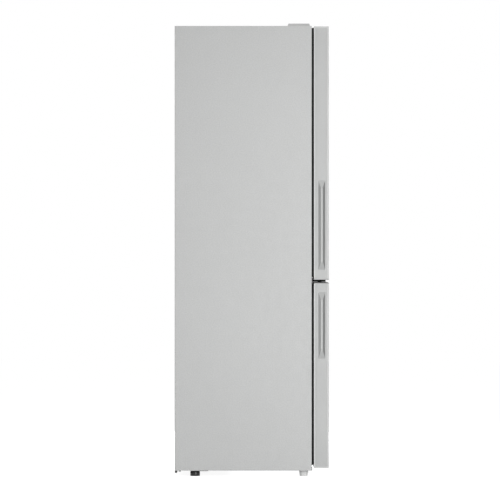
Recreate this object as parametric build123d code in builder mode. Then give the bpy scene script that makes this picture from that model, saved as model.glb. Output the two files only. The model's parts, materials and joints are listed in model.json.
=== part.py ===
from build123d import *
import os

# A free-standing refrigerator with a fridge door above a freezer door, in millimetres.
# +Z is up. The doors face -Y, hang on the +X side and have their finger recess on the -X side.
# The origin is on the floor, in the middle of the outline of the cabinet and its closed doors.

os.makedirs("parts", exist_ok=True)

# Overall size
WIDTH = 595.0
CABINET_DEPTH = 560.0
CABINET_HEIGHT = 1817.0
FOOT_HEIGHT = 23.0
SEAL_GAP = 9.0
DOOR_THICKNESS = 61.0
COVER_HEIGHT = 10.0

# Doors: heights and the gaps round them
DOOR_LIFT = 10.0
LOWER_DOOR_HEIGHT = 758.0
DOOR_SPACING = 11.5
DOOR_DROP = 1.5

# Sheet metal and plastic walls
SHEET = 0.8
LINER = 1.5
FOLD_RADIUS = 3.0
DOOR_FOLD = 4.0
RETURN = 14.0
TOP_FLANGE = 14.0
FIT = 0.2
RUN_GAP = 0.3

# Insulated walls
FRIDGE_WALL = 55.0
FREEZER_WALL = 65.0
TOP_WALL = 55.0
BACK_WALL = 60.0
FLOOR_WALL = 72.0
MULLION_HEIGHT = 82.0
LINER_FLANGE = 12.0
LINER_RADIUS = 12.0

# Back panel and its pressed grooves
GROOVE_DEPTH = 4.0
GROOVE_WIDTH = 26.0
GROOVE_PITCH = 130.0
GROOVE_COUNT = 4
GROOVE_MARGIN = 130.0
GROOVE_CHAMFER = 7.0

# Front rail with the adjustable feet, and the rear feet
RAIL_SHEET = 2.0
RAIL_DEPTH = 65.0
RAIL_GAP = 1.5
RAIL_PAD_HEIGHT = 11.0
RAIL_PAD_CHAMFER = 1.5
FOOT_SIDE = 42.0
FRONT_FOOT_SETBACK = 32.5
FRONT_FOOT_TOP = 18.8
FRONT_FOOT_BOTTOM = 15.0
FOOT_GAP = 0.5
FOOT_SIDES = 12
FOOT_COLLAR = 3.0
STUD_RADIUS = 5.0
STUD_CLEARANCE = 0.06
STUD_LENGTH = 12.0
NUT_RADIUS = 9.0
NUT_HEIGHT = 8.0
REAR_FOOT_SETBACK = 83.0
REAR_FOOT_RADIUS = 20.0
REAR_FOOT_CHAMFER = 3.0
BRACKET_SHEET = 2.0
BRACKET_WIDTH = 72.0
BRACKET_REACH = 53.0

# Compressor and the niche round it
BASE_SHEET = 1.5
BASE_LIP = 9.0
GROMMET_HEIGHT = 14.0
GROMMET_RADIUS = 11.0
GROMMET_SIDES = 12
COMPRESSOR_LENGTH = 190.0
COMPRESSOR_WIDTH = 150.0
COMPRESSOR_CORNER = 55.0
FIRST_FLAT = 0.586
SECOND_FLAT = 0.215
LOWER_SHELL = 86.0
UPPER_SHELL = 84.0
LOWER_SHELL_BEVEL = 24.0
DOME_SIDE = 40.0
DOME_SHOULDER = 15.0
DOME_SLOPE = 16.0
DOME_CROWN = 30.0
WELD_FLANGE = 4.0
WELD_HEIGHT = 6.0
COMPRESSOR_FOOT = 3.0
COMPRESSOR_FOOT_WIDTH = 34.0
COMPRESSOR_OFFSET = 60.0
TERMINAL_DEPTH = 26.0
TERMINAL_WIDTH = 36.0
TERMINAL_HEIGHT = 44.0
TRAY_HEIGHT = 28.0
TRAY_WALL = 2.0
TRAY_MARGIN = 8.0
TRAY_CORNER = 24.0
NICHE_HEADROOM = 24.0
NICHE_MARGIN = 40.0
NICHE_WALL = 60.0
PIPE_RADIUS = 3.0
PIPE_SIDES = 8
PIPE_BEND = 18.0
PIPE_SPREAD = 12.0
PIPE_REACH = 70.0
DRIER_RADIUS = 9.0
DRIER_LENGTH = 90.0

# Evaporator, its cover and the fan
EVAPORATOR_SPACE = 88.0
COVER_SHEET = 3.0
EVAPORATOR_GAP = 8.0
EVAPORATOR_SIDE = 26.0
EVAPORATOR_FOOT = 14.0
FIN_COUNT = 9
FIN_SHEET = 1.2
TUBE_COUNT = 3
TUBE_HALF = 4.0
FAN_DROP = 78.0
FAN_RADIUS = 46.0
FAN_BLADES = 5
BLADE_TIP = 41.0
FAN_HUB = 15.0
FAN_DEPTH = 20.0
FAN_GAP = 6.0
BLADE_SHEET = 2.0
BLADE_PITCH = 28.0
BLADE_WIDTH = 30.0
MOTOR_RADIUS = 26.0
MOTOR_SIDES = 12
MOTOR_DEPTH = 28.0
SHAFT_RADIUS = 3.0
SHAFT_CLEARANCE = 0.06
SHAFT_REACH = 10.0
ARM_WIDTH = 8.0
ARM_CLEAR = 8.0
VENT_LENGTH = 52.0
VENT_WIDTH = 8.0
VENT_PITCH = 66.0
VENT_COUNT = 6
VENT_MARGIN = 24.0

# Fridge shelves, duct and lamp
SHELF_COUNT = 4
GLASS = 4.0
SHELF_FIT = 1.5
SHELF_GAP = 3.0
TRIM_WALL = 2.5
TRIM_DEPTH = 16.0
TRIM_UNDER = 4.0
TRIM_OVER = 3.0
TRIM_UPSTAND = 14.0
TRIM_CHAMFER = 1.5
RIB_REACH = 10.0
RIB_HEIGHT = 9.0
RIB_SETBACK = 3.0
DUCT_DEPTH = 28.0
DUCT_HALF = 95.0
DUCT_WALL = 2.0
DUCT_MARGIN = 40.0
DUCT_BEVEL = 16.0
DUCT_VENT_DROP = 56.0
PANEL_HALF = 120.0
PANEL_DEPTH = 100.0
PANEL_HEIGHT = 16.0
PANEL_SETBACK = 60.0
PANEL_WALL = 3.0
PANEL_ROUND = 8.0
LENS_MARGIN = 14.0
LENS_DEPTH = 46.0

# Drawers
CRISPER_HEIGHT = 186.0
CRISPER_SIDE = 16.0
CRISPER_SETBACK = 8.0
CRISPER_REAR = 16.0
DRAWER_WALL = 2.5
DRAWER_CORNER = 14.0
FASCIA = 4.0
FASCIA_FIT = 5.0
FASCIA_UNDER = 6.0
FASCIA_OVER = 3.0
LIP_REACH = 14.0
LIP_DROP = 22.0
LIP_WALL = 3.0
LIP_HALF = 120.0
LIP_BELOW = 12.0
LIP_ROUND = 4.5
RUNNER = 14.0
RUNNER_HEIGHT = 7.0
RUNNER_DROP = 34.0
RUNNER_SETBACK = 14.0
GLIDE = 4.0
GLIDE_FIT = 2.0
DRAWER_FIT = 3.0
DRAWER_HEAD = 14.0
TUB_UNDER = 9.0
DRAWER_REAR = 10.0

# Door details
CAP_PLATE = 6.0
CAP_HEIGHT = 22.0
SKIN_WRAP = 8.0
RECESS_FROM_BACK = 17.6
RECESS_WIDTH = 28.2
RECESS_FLOOR = 7.0
RECESS_SLOPE = 11.6
RECESS_DEPTH = 16.0
RECESS_RAMP = 31.0
GRIP_WALL = 4.0
EDGE_STRIP = 8.2
SEAM = 0.9
UPPER_RECESS_LIFT = 40.5
UPPER_RECESS_LENGTH = 366.4
LOWER_RECESS_DROP = 38.5
LOWER_RECESS_LENGTH = 271.5
GASKET_SIDE = 24.5
GASKET_END = 10.0
GASKET_TOP = 3.0
GASKET_FOOT = 16.0
GASKET_WAIST = 8.0
GASKET_HEAD = 13.0
GASKET_FOOT_DEPTH = 2.2
GASKET_WAIST_DEPTH = 4.6
DYKE_FIT = 8.5
DYKE_WIDTH = 24.0
UPPER_DYKE = 44.0
LOWER_DYKE = 24.0
DYKE_ROUND = 3.0
DYKE_CLEAR = 10.0
BIN_COUNT = 3
BIN_DEPTH = 100.0
BIN_HEIGHT = 96.0
BIN_WALL = 2.4
BIN_FIT = 1.0
BIN_CORNER = 6.0
BIN_LIFT = 26.0
BIN_CLEAR = 14.0
LEDGE_WIDTH = 12.0
LEDGE_DEPTH = 40.0
LEDGE_HEIGHT = 8.0

# Hinges
HINGE_INSET = 17.5
HINGE_SETBACK = 30.0
PIN_RADIUS = 5.0
PIN_CLEARANCE = 0.08
PIN_LENGTH = 15.0
BUSH_DEPTH = 18.0
COLLAR_RADIUS = 9.0
COLLAR_SIDES = 12
HINGE_ARM = 4.0
HINGE_ARM_HALF = 12.0
HINGE_PLATE = 3.0
HINGE_PLATE_LENGTH = 70.0
HINGE_PLATE_HALF = 13.0
HINGE_BASE_DEPTH = 66.0
HINGE_BASE_SETBACK = 16.0
RAIL_PLATE_MARGIN = 1.0
SCREW_RADIUS = 2.5
SCREW_SIDES = 8
HEAD_SIDES = 6
SCREW_CLEARANCE = 0.1
SCREW_HEAD = 4.6
SCREW_HEAD_HEIGHT = 2.4
SCREW_MARGIN = 12.0
SCREW_PITCH = 26.0
BLANK_SIDE = 4.0
BOLT_HEAD = 5.4
BOLT_HEAD_HEIGHT = 4.0
BOLT_SIDE = 20.0
BOLT_SETBACK = 20.7
HINGE_COVER_WIDTH = 94.0
HINGE_COVER_DEPTH = 92.5
HINGE_COVER_SETBACK = 6.5
HINGE_COVER_SIDE = 1.5
HINGE_COVER_WALL = 1.6
HINGE_COVER_SLANT = 22.0
HINGE_COVER_ARM = 36.0
HINGE_COVER_NOSE = 18.0

# Places that follow from these sizes
LEFT = -WIDTH / 2
RIGHT = WIDTH / 2
REAR = (CABINET_DEPTH + SEAL_GAP + DOOR_THICKNESS) / 2
FRONT = REAR - CABINET_DEPTH
DOOR_BACK = FRONT - SEAL_GAP
DOOR_FRONT = DOOR_BACK - DOOR_THICKNESS
BASE = FOOT_HEIGHT
TOP = BASE + CABINET_HEIGHT

LOWER_BOTTOM = BASE + DOOR_LIFT
LOWER_TOP = LOWER_BOTTOM + LOWER_DOOR_HEIGHT
UPPER_BOTTOM = LOWER_TOP + DOOR_SPACING
UPPER_TOP = TOP - DOOR_DROP
MULLION_MID = (LOWER_TOP + UPPER_BOTTOM) / 2

BASE_PLATE_TOP = BASE + BASE_SHEET
COMPRESSOR_BOTTOM = BASE_PLATE_TOP + GROMMET_HEIGHT
SHELL_BOTTOM = COMPRESSOR_BOTTOM + COMPRESSOR_FOOT
SHELL_TOP = SHELL_BOTTOM + LOWER_SHELL + UPPER_SHELL
NICHE_TOP = SHELL_TOP + TRAY_HEIGHT + NICHE_HEADROOM
NICHE_FRONT = REAR - COMPRESSOR_WIDTH - 2 * NICHE_MARGIN
COMPRESSOR_Y = (NICHE_FRONT + REAR) / 2

FRIDGE_HALF = WIDTH / 2 - FRIDGE_WALL
FRIDGE_REAR = REAR - BACK_WALL
FRIDGE_FLOOR = MULLION_MID + MULLION_HEIGHT / 2
FRIDGE_TOP = TOP - TOP_WALL
FREEZER_HALF = WIDTH / 2 - FREEZER_WALL
FREEZER_REAR = REAR - BACK_WALL
FREEZER_FLOOR = BASE + FLOOR_WALL
FREEZER_TOP = MULLION_MID - MULLION_HEIGHT / 2
STEP_Y = NICHE_FRONT - NICHE_WALL
STEP_Z = NICHE_TOP + NICHE_WALL
COVER_Y = FREEZER_REAR - EVAPORATOR_SPACE

FACE_HALF = WIDTH / 2 - RETURN - FIT
INSIDE_FOLD = WIDTH / 2 - FOLD_RADIUS - FIT
INSIDE_SHELL = WIDTH / 2 - 2 * SHEET
RAIL_TOP = LOWER_BOTTOM + GASKET_END - RAIL_GAP
RAIL_BACK = FRONT + RAIL_DEPTH
FOOT_X = WIDTH / 2 - FOOT_SIDE
FRONT_FOOT_Y = FRONT + FRONT_FOOT_SETBACK
REAR_FOOT_Y = REAR - REAR_FOOT_SETBACK

SHELF_FRONT = DOOR_BACK + BIN_DEPTH + BIN_CLEAR
SHELF_REAR = FRIDGE_REAR - DUCT_DEPTH - SHELF_GAP
CRISPER_TOP = FRIDGE_FLOOR + RUN_GAP + CRISPER_HEIGHT
LID_Z = CRISPER_TOP + DRAWER_HEAD + TRIM_UNDER
SHELF_PITCH = (FRIDGE_TOP - LID_Z) / SHELF_COUNT
SHELVES = [LID_Z + index * SHELF_PITCH for index in range(SHELF_COUNT)]

GRIP_WIDTH = RECESS_DEPTH + GRIP_WALL
RECESS_BACK = DOOR_BACK - RECESS_FROM_BACK
GASKET_DEPTH = SEAL_GAP - RUN_GAP
DRAWER_FRONT = DOOR_BACK + LOWER_DYKE + DYKE_CLEAR + LIP_REACH
BAY_MID = (STEP_Z + FREEZER_TOP) / 2
BAYS = {
    "bottom": (FREEZER_FLOOR, STEP_Z, STEP_Y - DRAWER_REAR),
    "middle": (STEP_Z, BAY_MID, COVER_Y - COVER_SHEET - DRAWER_REAR),
    "top": (BAY_MID, FREEZER_TOP, COVER_Y - COVER_SHEET - DRAWER_REAR),
}

BIN_HALF = FRIDGE_HALF - DYKE_FIT - DYKE_WIDTH - BIN_FIT
BIN_FLOOR = FRIDGE_FLOOR + DYKE_FIT + DYKE_WIDTH + BIN_LIFT
BIN_PITCH = (FRIDGE_TOP - DYKE_FIT - DYKE_WIDTH - BIN_FLOOR) / BIN_COUNT
BINS = [BIN_FLOOR + index * BIN_PITCH for index in range(BIN_COUNT)]

HINGE_X = RIGHT - HINGE_INSET
HINGE_Y = DOOR_FRONT + HINGE_SETBACK
PLATE_X = (HINGE_X - HINGE_PLATE_LENGTH, HINGE_X + COLLAR_RADIUS)
PAD_X = (-FACE_HALF, -PLATE_X[0])
SCREW_HOLE = SCREW_RADIUS + SCREW_CLEARANCE
FAN_Z = FREEZER_TOP - FAN_DROP


def level(z):
    """Horizontal plane at a height, looking up."""
    return Plane.XY.offset(z)


def facing(y):
    """Upright plane at a depth, whose normal points forwards: local x is X and local y is Z."""
    return Plane.XZ.offset(-y)


def across(x):
    """Upright plane at a side, whose normal points to +X: local x is Y and local y is Z."""
    return Plane.YZ.offset(x)


def rectangle(first, second, mode=Mode.ADD):
    """Rectangle in the open sketch, from its low and high value on each local axis."""
    with Locations(((first[0] + first[1]) / 2, (second[0] + second[1]) / 2)):
        Rectangle(first[1] - first[0], second[1] - second[0], mode=mode)


def slab(plane, first, second, amount, mode=Mode.ADD):
    """Plate of such a rectangle, extruded from its plane into the open part."""
    with BuildSketch(plane) as outline:
        rectangle(first, second)
    extrude(outline.sketch, amount=amount, mode=mode)


def rod(plane, centre, radius, amount, mode=Mode.ADD):
    """Round bar, or hole, extruded from a plane into the open part."""
    with BuildSketch(plane) as outline:
        with Locations(centre):
            Circle(radius)
    extrude(outline.sketch, amount=amount, mode=mode)


def prism(plane, centre, radius, sides, amount, mode=Mode.ADD):
    """Bar, or hole, with a regular flat-sided outline, extruded from a plane into the open part."""
    with BuildSketch(plane) as outline:
        with Locations(centre):
            RegularPolygon(radius, sides)
    extrude(outline.sketch, amount=amount, mode=mode)


def both_ways(half):
    """The low and high value of a span that is centred on zero."""
    return (-half, half)


def save(piece, name):
    """Labels a finished piece and writes it as the node of that name."""
    piece.part.label = name
    export_step(piece.part, f"parts/{name}.step")


# Cabinet shell

with BuildPart() as side_panel_left:
    with BuildSketch(level(BASE)):
        with BuildLine():
            FilletPolyline(
                (LEFT + RETURN, FRONT),
                (LEFT, FRONT),
                (LEFT, REAR),
                (LEFT + RETURN, REAR),
                radius=FOLD_RADIUS,
            )
            offset(amount=SHEET, side=Side.RIGHT)
        make_face()
    extrude(amount=CABINET_HEIGHT)
    # The returns stop under the flange of the top panel.
    slab(level(TOP - TOP_FLANGE), (LEFT + SHEET, LEFT + RETURN), (FRONT, REAR), TOP_FLANGE, Mode.SUBTRACT)
save(side_panel_left, "side_panel_left")

with BuildPart() as side_panel_right:
    mirror(side_panel_left.part, about=Plane.YZ)
save(side_panel_right, "side_panel_right")

with BuildPart() as top_panel:
    slab(level(TOP - TOP_FLANGE), both_ways(RIGHT - SHEET), (FRONT, REAR), TOP_FLANGE)
    offset(amount=-SHEET, openings=top_panel.faces().sort_by(Axis.Z)[0])
save(top_panel, "top_panel")

BACK_TOP = TOP - SHEET - FIT
BACK_MID = (NICHE_TOP + BACK_TOP) / 2
GROOVE_LENGTH = BACK_TOP - NICHE_TOP - 2 * GROOVE_MARGIN


def grooves(y, width, mode):
    """Row of upright grooves with bevelled ends, pressed forwards from a plane at that depth."""
    with BuildSketch(facing(y)) as row:
        with Locations((0, BACK_MID)):
            with GridLocations(GROOVE_PITCH, 1, GROOVE_COUNT, 1):
                Rectangle(width, GROOVE_LENGTH - GROOVE_WIDTH + width)
        chamfer(row.vertices(), GROOVE_CHAMFER)
    extrude(row.sketch, amount=GROOVE_DEPTH, mode=mode)


with BuildPart() as back_panel:
    slab(facing(REAR - SHEET), both_ways(INSIDE_FOLD), (NICHE_TOP, BACK_TOP), SHEET)
    grooves(REAR - 2 * SHEET, GROOVE_WIDTH, Mode.ADD)
    grooves(REAR - SHEET, GROOVE_WIDTH - 2 * SHEET, Mode.SUBTRACT)
save(back_panel, "back_panel")

with BuildPart() as base_pan:
    with BuildSketch(across(-INSIDE_SHELL)):
        with BuildLine():
            FilletPolyline(
                (RAIL_BACK, BASE),
                (NICHE_FRONT, BASE),
                (NICHE_FRONT, NICHE_TOP),
                (REAR - 2 * SHEET, NICHE_TOP),
                radius=FOLD_RADIUS,
            )
            offset(amount=SHEET, side=Side.LEFT)
        make_face()
    extrude(amount=2 * INSIDE_SHELL)
save(base_pan, "base_pan")

with BuildPart() as front_rail:
    with BuildSketch(across(-FACE_HALF)):
        with BuildLine():
            FilletPolyline(
                (RAIL_BACK, BASE),
                (FRONT, BASE),
                (FRONT, RAIL_TOP),
                (RAIL_BACK, RAIL_TOP),
                radius=FOLD_RADIUS,
            )
            offset(amount=RAIL_SHEET, side=Side.RIGHT)
        make_face()
    extrude(amount=2 * FACE_HALF)
    # A pressed pad closes the place of the bottom hinge on the side that has none.
    slab(facing(FRONT), PAD_X, (BASE, BASE + RAIL_PAD_HEIGHT), HINGE_PLATE)
    chamfer(front_rail.faces().sort_by(Axis.Y)[0].edges(), RAIL_PAD_CHAMFER)
    for side in (-1, 1):
        prism(level(BASE), (side * FOOT_X, FRONT_FOOT_Y), NUT_RADIUS, HEAD_SIDES, RAIL_SHEET + NUT_HEIGHT)
    for side in (-1, 1):
        hole = STUD_RADIUS + STUD_CLEARANCE
        rod(level(BASE), (side * FOOT_X, FRONT_FOOT_Y), hole, RAIL_SHEET + NUT_HEIGHT, Mode.SUBTRACT)
save(front_rail, "front_rail")

with BuildPart() as mullion_rail:
    strip = (FREEZER_TOP + LINER_FLANGE, FRIDGE_FLOOR - LINER_FLANGE)
    slab(facing(FRONT), both_ways(FACE_HALF), strip, -LINER)
save(mullion_rail, "mullion_rail")

# Foam and liners


def freezer_block(wall, mode):
    """Space of the freezer, stepped over the compressor niche and grown by a wall."""
    with BuildSketch(across(-FREEZER_HALF - wall)) as profile:
        with BuildLine():
            Polyline(
                (FRONT, FREEZER_FLOOR - wall),
                (STEP_Y + wall, FREEZER_FLOOR - wall),
                (STEP_Y + wall, STEP_Z - wall),
                (FREEZER_REAR + wall, STEP_Z - wall),
                (FREEZER_REAR + wall, FREEZER_TOP + wall),
                (FRONT, FREEZER_TOP + wall),
                close=True,
            )
        make_face()
    extrude(profile.sketch, amount=2 * (FREEZER_HALF + wall), mode=mode)


with BuildPart() as insulation_foam:
    FOAM_FRONT = FRONT + LINER
    FOAM_REAR = REAR - 2 * SHEET - GROOVE_DEPTH
    FOAM_TOP = TOP - SHEET
    with BuildSketch(across(-INSIDE_SHELL)):
        with BuildLine():
            Polyline(
                (FOAM_FRONT, RAIL_TOP),
                (RAIL_BACK, RAIL_TOP),
                (RAIL_BACK, BASE + SHEET),
                (NICHE_FRONT - SHEET - FOLD_RADIUS, BASE + SHEET),
                (NICHE_FRONT - SHEET, BASE + SHEET + FOLD_RADIUS),
                (NICHE_FRONT - SHEET, NICHE_TOP + SHEET),
                (FOAM_REAR, NICHE_TOP + SHEET),
                (FOAM_REAR, FOAM_TOP),
                (FOAM_FRONT, FOAM_TOP),
                close=True,
            )
        make_face()
    extrude(amount=2 * INSIDE_SHELL)
    fridge_span = (FRIDGE_FLOOR - LINER, FRIDGE_TOP + LINER)
    fridge_run = FRIDGE_REAR + LINER - FRONT
    slab(facing(FRONT), both_ways(FRIDGE_HALF + LINER), fridge_span, -fridge_run, Mode.SUBTRACT)
    freezer_block(LINER, Mode.SUBTRACT)
save(insulation_foam, "insulation_foam")


def face_flange(span, opening_half, opening):
    """Flat flange of a liner on the cabinet's front, round its opening."""
    with BuildSketch(facing(FRONT)) as flange:
        rectangle(both_ways(FACE_HALF), span)
        with Locations((0, (opening[0] + opening[1]) / 2)):
            size = (2 * opening_half, opening[1] - opening[0])
            RectangleRounded(*size, LINER_RADIUS, mode=Mode.SUBTRACT)
    extrude(flange.sketch, amount=-LINER)


def side_bars(half, reach, depth, height):
    """Bars along both inner side walls of a liner, at a span of depth and of height."""
    for side in (-1, 1):
        slab(across(side * half), depth, height, -side * reach)


with BuildPart() as fridge_liner:
    slab(facing(FRONT), both_ways(FRIDGE_HALF + LINER), fridge_span, -fridge_run)
    with BuildSketch(facing(FRONT)):
        with Locations((0, (FRIDGE_FLOOR + FRIDGE_TOP) / 2)):
            RectangleRounded(2 * FRIDGE_HALF, FRIDGE_TOP - FRIDGE_FLOOR, LINER_RADIUS)
    extrude(amount=FRONT - FRIDGE_REAR, mode=Mode.SUBTRACT)
    flange_span = (FRIDGE_FLOOR - LINER_FLANGE, TOP - TOP_FLANGE - FIT)
    face_flange(flange_span, FRIDGE_HALF, (FRIDGE_FLOOR, FRIDGE_TOP))
    for shelf in SHELVES:
        rib_run = (SHELF_FRONT + TRIM_DEPTH + RIB_SETBACK, SHELF_REAR - TRIM_DEPTH - RIB_SETBACK)
        side_bars(FRIDGE_HALF, RIB_REACH, rib_run, (shelf - RIB_HEIGHT, shelf))
save(fridge_liner, "fridge_liner")

with BuildPart() as freezer_liner:
    freezer_block(LINER, Mode.ADD)
    freezer_block(0, Mode.SUBTRACT)
    corners = freezer_liner.edges().filter_by(Axis.Y).filter_by_position(Axis.X, *both_ways(FREEZER_HALF))
    fillet(corners, LINER_RADIUS)
    face_flange((RAIL_TOP + FIT, FREEZER_TOP + LINER_FLANGE), FREEZER_HALF, (FREEZER_FLOOR, FREEZER_TOP))
    for bay_floor, bay_top, bay_rear in BAYS.values():
        runner_top = bay_top - RUNNER_DROP
        runner_run = (DRAWER_FRONT + RUNNER_SETBACK, bay_rear)
        side_bars(FREEZER_HALF, RUNNER, runner_run, (runner_top - RUNNER_HEIGHT, runner_top))
save(freezer_liner, "freezer_liner")

# Compressor niche

with BuildPart() as compressor_base_plate:
    slab(level(BASE), both_ways(INSIDE_FOLD), (NICHE_FRONT, REAR - SHEET), BASE_SHEET)
    # The rear edge is hemmed downwards, and a bracket under each end carries a foot.
    slab(level(BASE), both_ways(INSIDE_FOLD), (REAR - SHEET - BASE_LIP, REAR - SHEET), -BASE_LIP)
    for side in (-1, 1):
        bracket_x = sorted((side * (RIGHT - FIT), side * (RIGHT - FIT - BRACKET_WIDTH)))
        bracket_y = (REAR_FOOT_Y - BRACKET_REACH, REAR_FOOT_Y + REAR_FOOT_RADIUS)
        slab(level(BASE), bracket_x, bracket_y, -BRACKET_SHEET)
    for side in (-1, 1):
        spot = (side * (RIGHT - BOLT_SIDE), REAR - BOLT_SETBACK)
        prism(level(BASE), spot, SCREW_HOLE, SCREW_SIDES, BASE_SHEET, Mode.SUBTRACT)
save(compressor_base_plate, "compressor_base_plate")

with BuildPart() as rear_feet:
    for side in (-1, 1):
        rod(level(0), (side * FOOT_X, REAR_FOOT_Y), REAR_FOOT_RADIUS, BASE - BRACKET_SHEET)
    chamfer(rear_feet.edges().filter_by(GeomType.CIRCLE).group_by(Axis.Z)[0], REAR_FOOT_CHAMFER)
save(rear_feet, "rear_feet")

GROMMET_X = COMPRESSOR_LENGTH / 2 - COMPRESSOR_FOOT_WIDTH / 2
GROMMET_Y = COMPRESSOR_WIDTH / 2 + GROMMET_RADIUS
GROMMETS = [
    (COMPRESSOR_OFFSET + along * GROMMET_X, COMPRESSOR_Y + cross * GROMMET_Y)
    for along in (-1, 1)
    for cross in (-1, 1)
]

with BuildPart() as compressor_grommets:
    for spot in GROMMETS:
        prism(level(BASE_PLATE_TOP), spot, GROMMET_RADIUS, GROMMET_SIDES, GROMMET_HEIGHT)
save(compressor_grommets, "compressor_grommets")


def shell_outline(z, grow):
    """Plan of the compressor's pressed shell, grown by a margin. Flats follow its round corners."""
    radius = COMPRESSOR_CORNER + grow
    with BuildSketch(level(z)) as outline:
        with Locations((COMPRESSOR_OFFSET, COMPRESSOR_Y)):
            Rectangle(COMPRESSOR_LENGTH + 2 * grow, COMPRESSOR_WIDTH + 2 * grow)
        for share in (FIRST_FLAT, SECOND_FLAT):
            chamfer(outline.vertices(), share * radius)
    return outline.sketch


with BuildPart() as compressor_shell:
    extrude(shell_outline(SHELL_BOTTOM, 0), amount=LOWER_SHELL + UPPER_SHELL)
    chamfer(compressor_shell.faces().sort_by(Axis.Z)[0].edges(), LOWER_SHELL_BEVEL)
    # Two bevels draw the dome in towards its crown.
    for along_top, along_side in ((DOME_SHOULDER, DOME_SIDE), (DOME_CROWN, DOME_SLOPE)):
        crown = compressor_shell.faces().sort_by(Axis.Z)[-1]
        chamfer(crown.edges(), along_top, along_side, reference=crown)
    extrude(shell_outline(SHELL_BOTTOM + LOWER_SHELL - WELD_HEIGHT / 2, WELD_FLANGE), amount=WELD_HEIGHT)
    for along in (-1, 1):
        strap_mid = COMPRESSOR_OFFSET + along * GROMMET_X
        strap_x = (strap_mid - COMPRESSOR_FOOT_WIDTH / 2, strap_mid + COMPRESSOR_FOOT_WIDTH / 2)
        strap_half = GROMMET_Y + GROMMET_RADIUS
        strap_y = (COMPRESSOR_Y - strap_half, COMPRESSOR_Y + strap_half)
        slab(level(COMPRESSOR_BOTTOM), strap_x, strap_y, COMPRESSOR_FOOT)
save(compressor_shell, "compressor_shell")

TERMINAL_Z = SHELL_BOTTOM + LOWER_SHELL_BEVEL
SHELL_END = COMPRESSOR_LENGTH / 2

with BuildPart() as compressor_terminal_cover:
    terminal_y = (COMPRESSOR_Y - TERMINAL_WIDTH / 2, COMPRESSOR_Y + TERMINAL_WIDTH / 2)
    terminal_z = (TERMINAL_Z, TERMINAL_Z + TERMINAL_HEIGHT)
    slab(across(COMPRESSOR_OFFSET + SHELL_END), terminal_y, terminal_z, TERMINAL_DEPTH)
    fillet(compressor_terminal_cover.faces().sort_by(Axis.X)[-1].edges(), TRIM_UNDER)
save(compressor_terminal_cover, "compressor_terminal_cover")

with BuildPart() as drip_tray:
    with BuildSketch(level(SHELL_TOP)):
        with Locations((COMPRESSOR_OFFSET, COMPRESSOR_Y)):
            tray_size = (COMPRESSOR_LENGTH + 2 * TRAY_MARGIN, COMPRESSOR_WIDTH + 2 * TRAY_MARGIN)
            RectangleRounded(*tray_size, TRAY_CORNER)
    extrude(amount=TRAY_HEIGHT)
    offset(amount=-TRAY_WALL, openings=drip_tray.faces().sort_by(Axis.Z)[-1])
save(drip_tray, "drip_tray")

# Refrigerant pipes: both leave the flat end of the shell and climb to the niche's roof.
PIPE_Z = TERMINAL_Z + TERMINAL_HEIGHT / 2


def rising_pipe(side, reach):
    """Pipe from the shell's end, sideways, then bevelled up to the roof of the niche."""
    start = (COMPRESSOR_OFFSET - SHELL_END, COMPRESSOR_Y + side * PIPE_SPREAD, PIPE_Z)
    corner = (start[0] - reach, start[1], PIPE_Z)
    with BuildLine() as route:
        Polyline(
            start,
            (corner[0] + PIPE_BEND, corner[1], PIPE_Z),
            (corner[0], corner[1], PIPE_Z + PIPE_BEND),
            (corner[0], corner[1], NICHE_TOP),
        )
    with BuildSketch(Plane(origin=start, z_dir=(-1, 0, 0))) as section:
        RegularPolygon(PIPE_RADIUS, PIPE_SIDES)
    sweep(section.sketch, path=route.wires()[0], transition=Transition.RIGHT)
    return corner


with BuildPart() as refrigerant_pipes:
    rising_pipe(-1, PIPE_REACH)
    drier_spot = rising_pipe(1, 2 * PIPE_REACH)
    # The filter drier is a wider length of the second pipe.
    drier_plane = level((PIPE_Z + NICHE_TOP - DRIER_LENGTH) / 2)
    prism(drier_plane, (drier_spot[0], drier_spot[1]), DRIER_RADIUS, 2 * PIPE_SIDES, DRIER_LENGTH)
save(refrigerant_pipes, "refrigerant_pipes")

# Evaporator, cover and fan, behind the freezer drawers

EVAPORATOR_HALF = FREEZER_HALF - EVAPORATOR_SIDE
EVAPORATOR_Z = (STEP_Z + EVAPORATOR_FOOT, FAN_Z - FAN_RADIUS - 2 * ARM_CLEAR)
EVAPORATOR_Y = (COVER_Y + EVAPORATOR_GAP, FREEZER_REAR)

with BuildPart() as evaporator:
    for fin in range(FIN_COUNT):
        fin_x = -EVAPORATOR_HALF + fin * (2 * EVAPORATOR_HALF - FIN_SHEET) / (FIN_COUNT - 1)
        slab(across(fin_x), EVAPORATOR_Y, EVAPORATOR_Z, FIN_SHEET)
    tube_pitch = (EVAPORATOR_Z[1] - EVAPORATOR_Z[0]) / TUBE_COUNT
    for tube in range(TUBE_COUNT):
        tube_y = sum(EVAPORATOR_Y) / 2
        tube_z = EVAPORATOR_Z[0] + (tube + 0.5) * tube_pitch
        tube_span = ((tube_y - TUBE_HALF, tube_y + TUBE_HALF), (tube_z - TUBE_HALF, tube_z + TUBE_HALF))
        slab(across(-EVAPORATOR_HALF), *tube_span, 2 * EVAPORATOR_HALF)
save(evaporator, "evaporator")

with BuildPart() as evaporator_cover:
    cover_mid = (STEP_Z + FREEZER_TOP) / 2
    cover_size = (2 * (FREEZER_HALF - FIT), FREEZER_TOP - STEP_Z - 2 * FIT)
    with BuildSketch(facing(COVER_Y)) as cover_outline:
        with Locations((0, cover_mid)):
            Rectangle(*cover_size)
        chamfer(cover_outline.vertices(), LINER_RADIUS)
        for row in (STEP_Z + VENT_MARGIN, FREEZER_TOP - VENT_MARGIN):
            with Locations((0, row)):
                with GridLocations(VENT_PITCH, 1, VENT_COUNT, 1):
                    Rectangle(VENT_LENGTH, VENT_WIDTH, mode=Mode.SUBTRACT)
    extrude(amount=COVER_SHEET)
save(evaporator_cover, "evaporator_cover")

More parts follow.
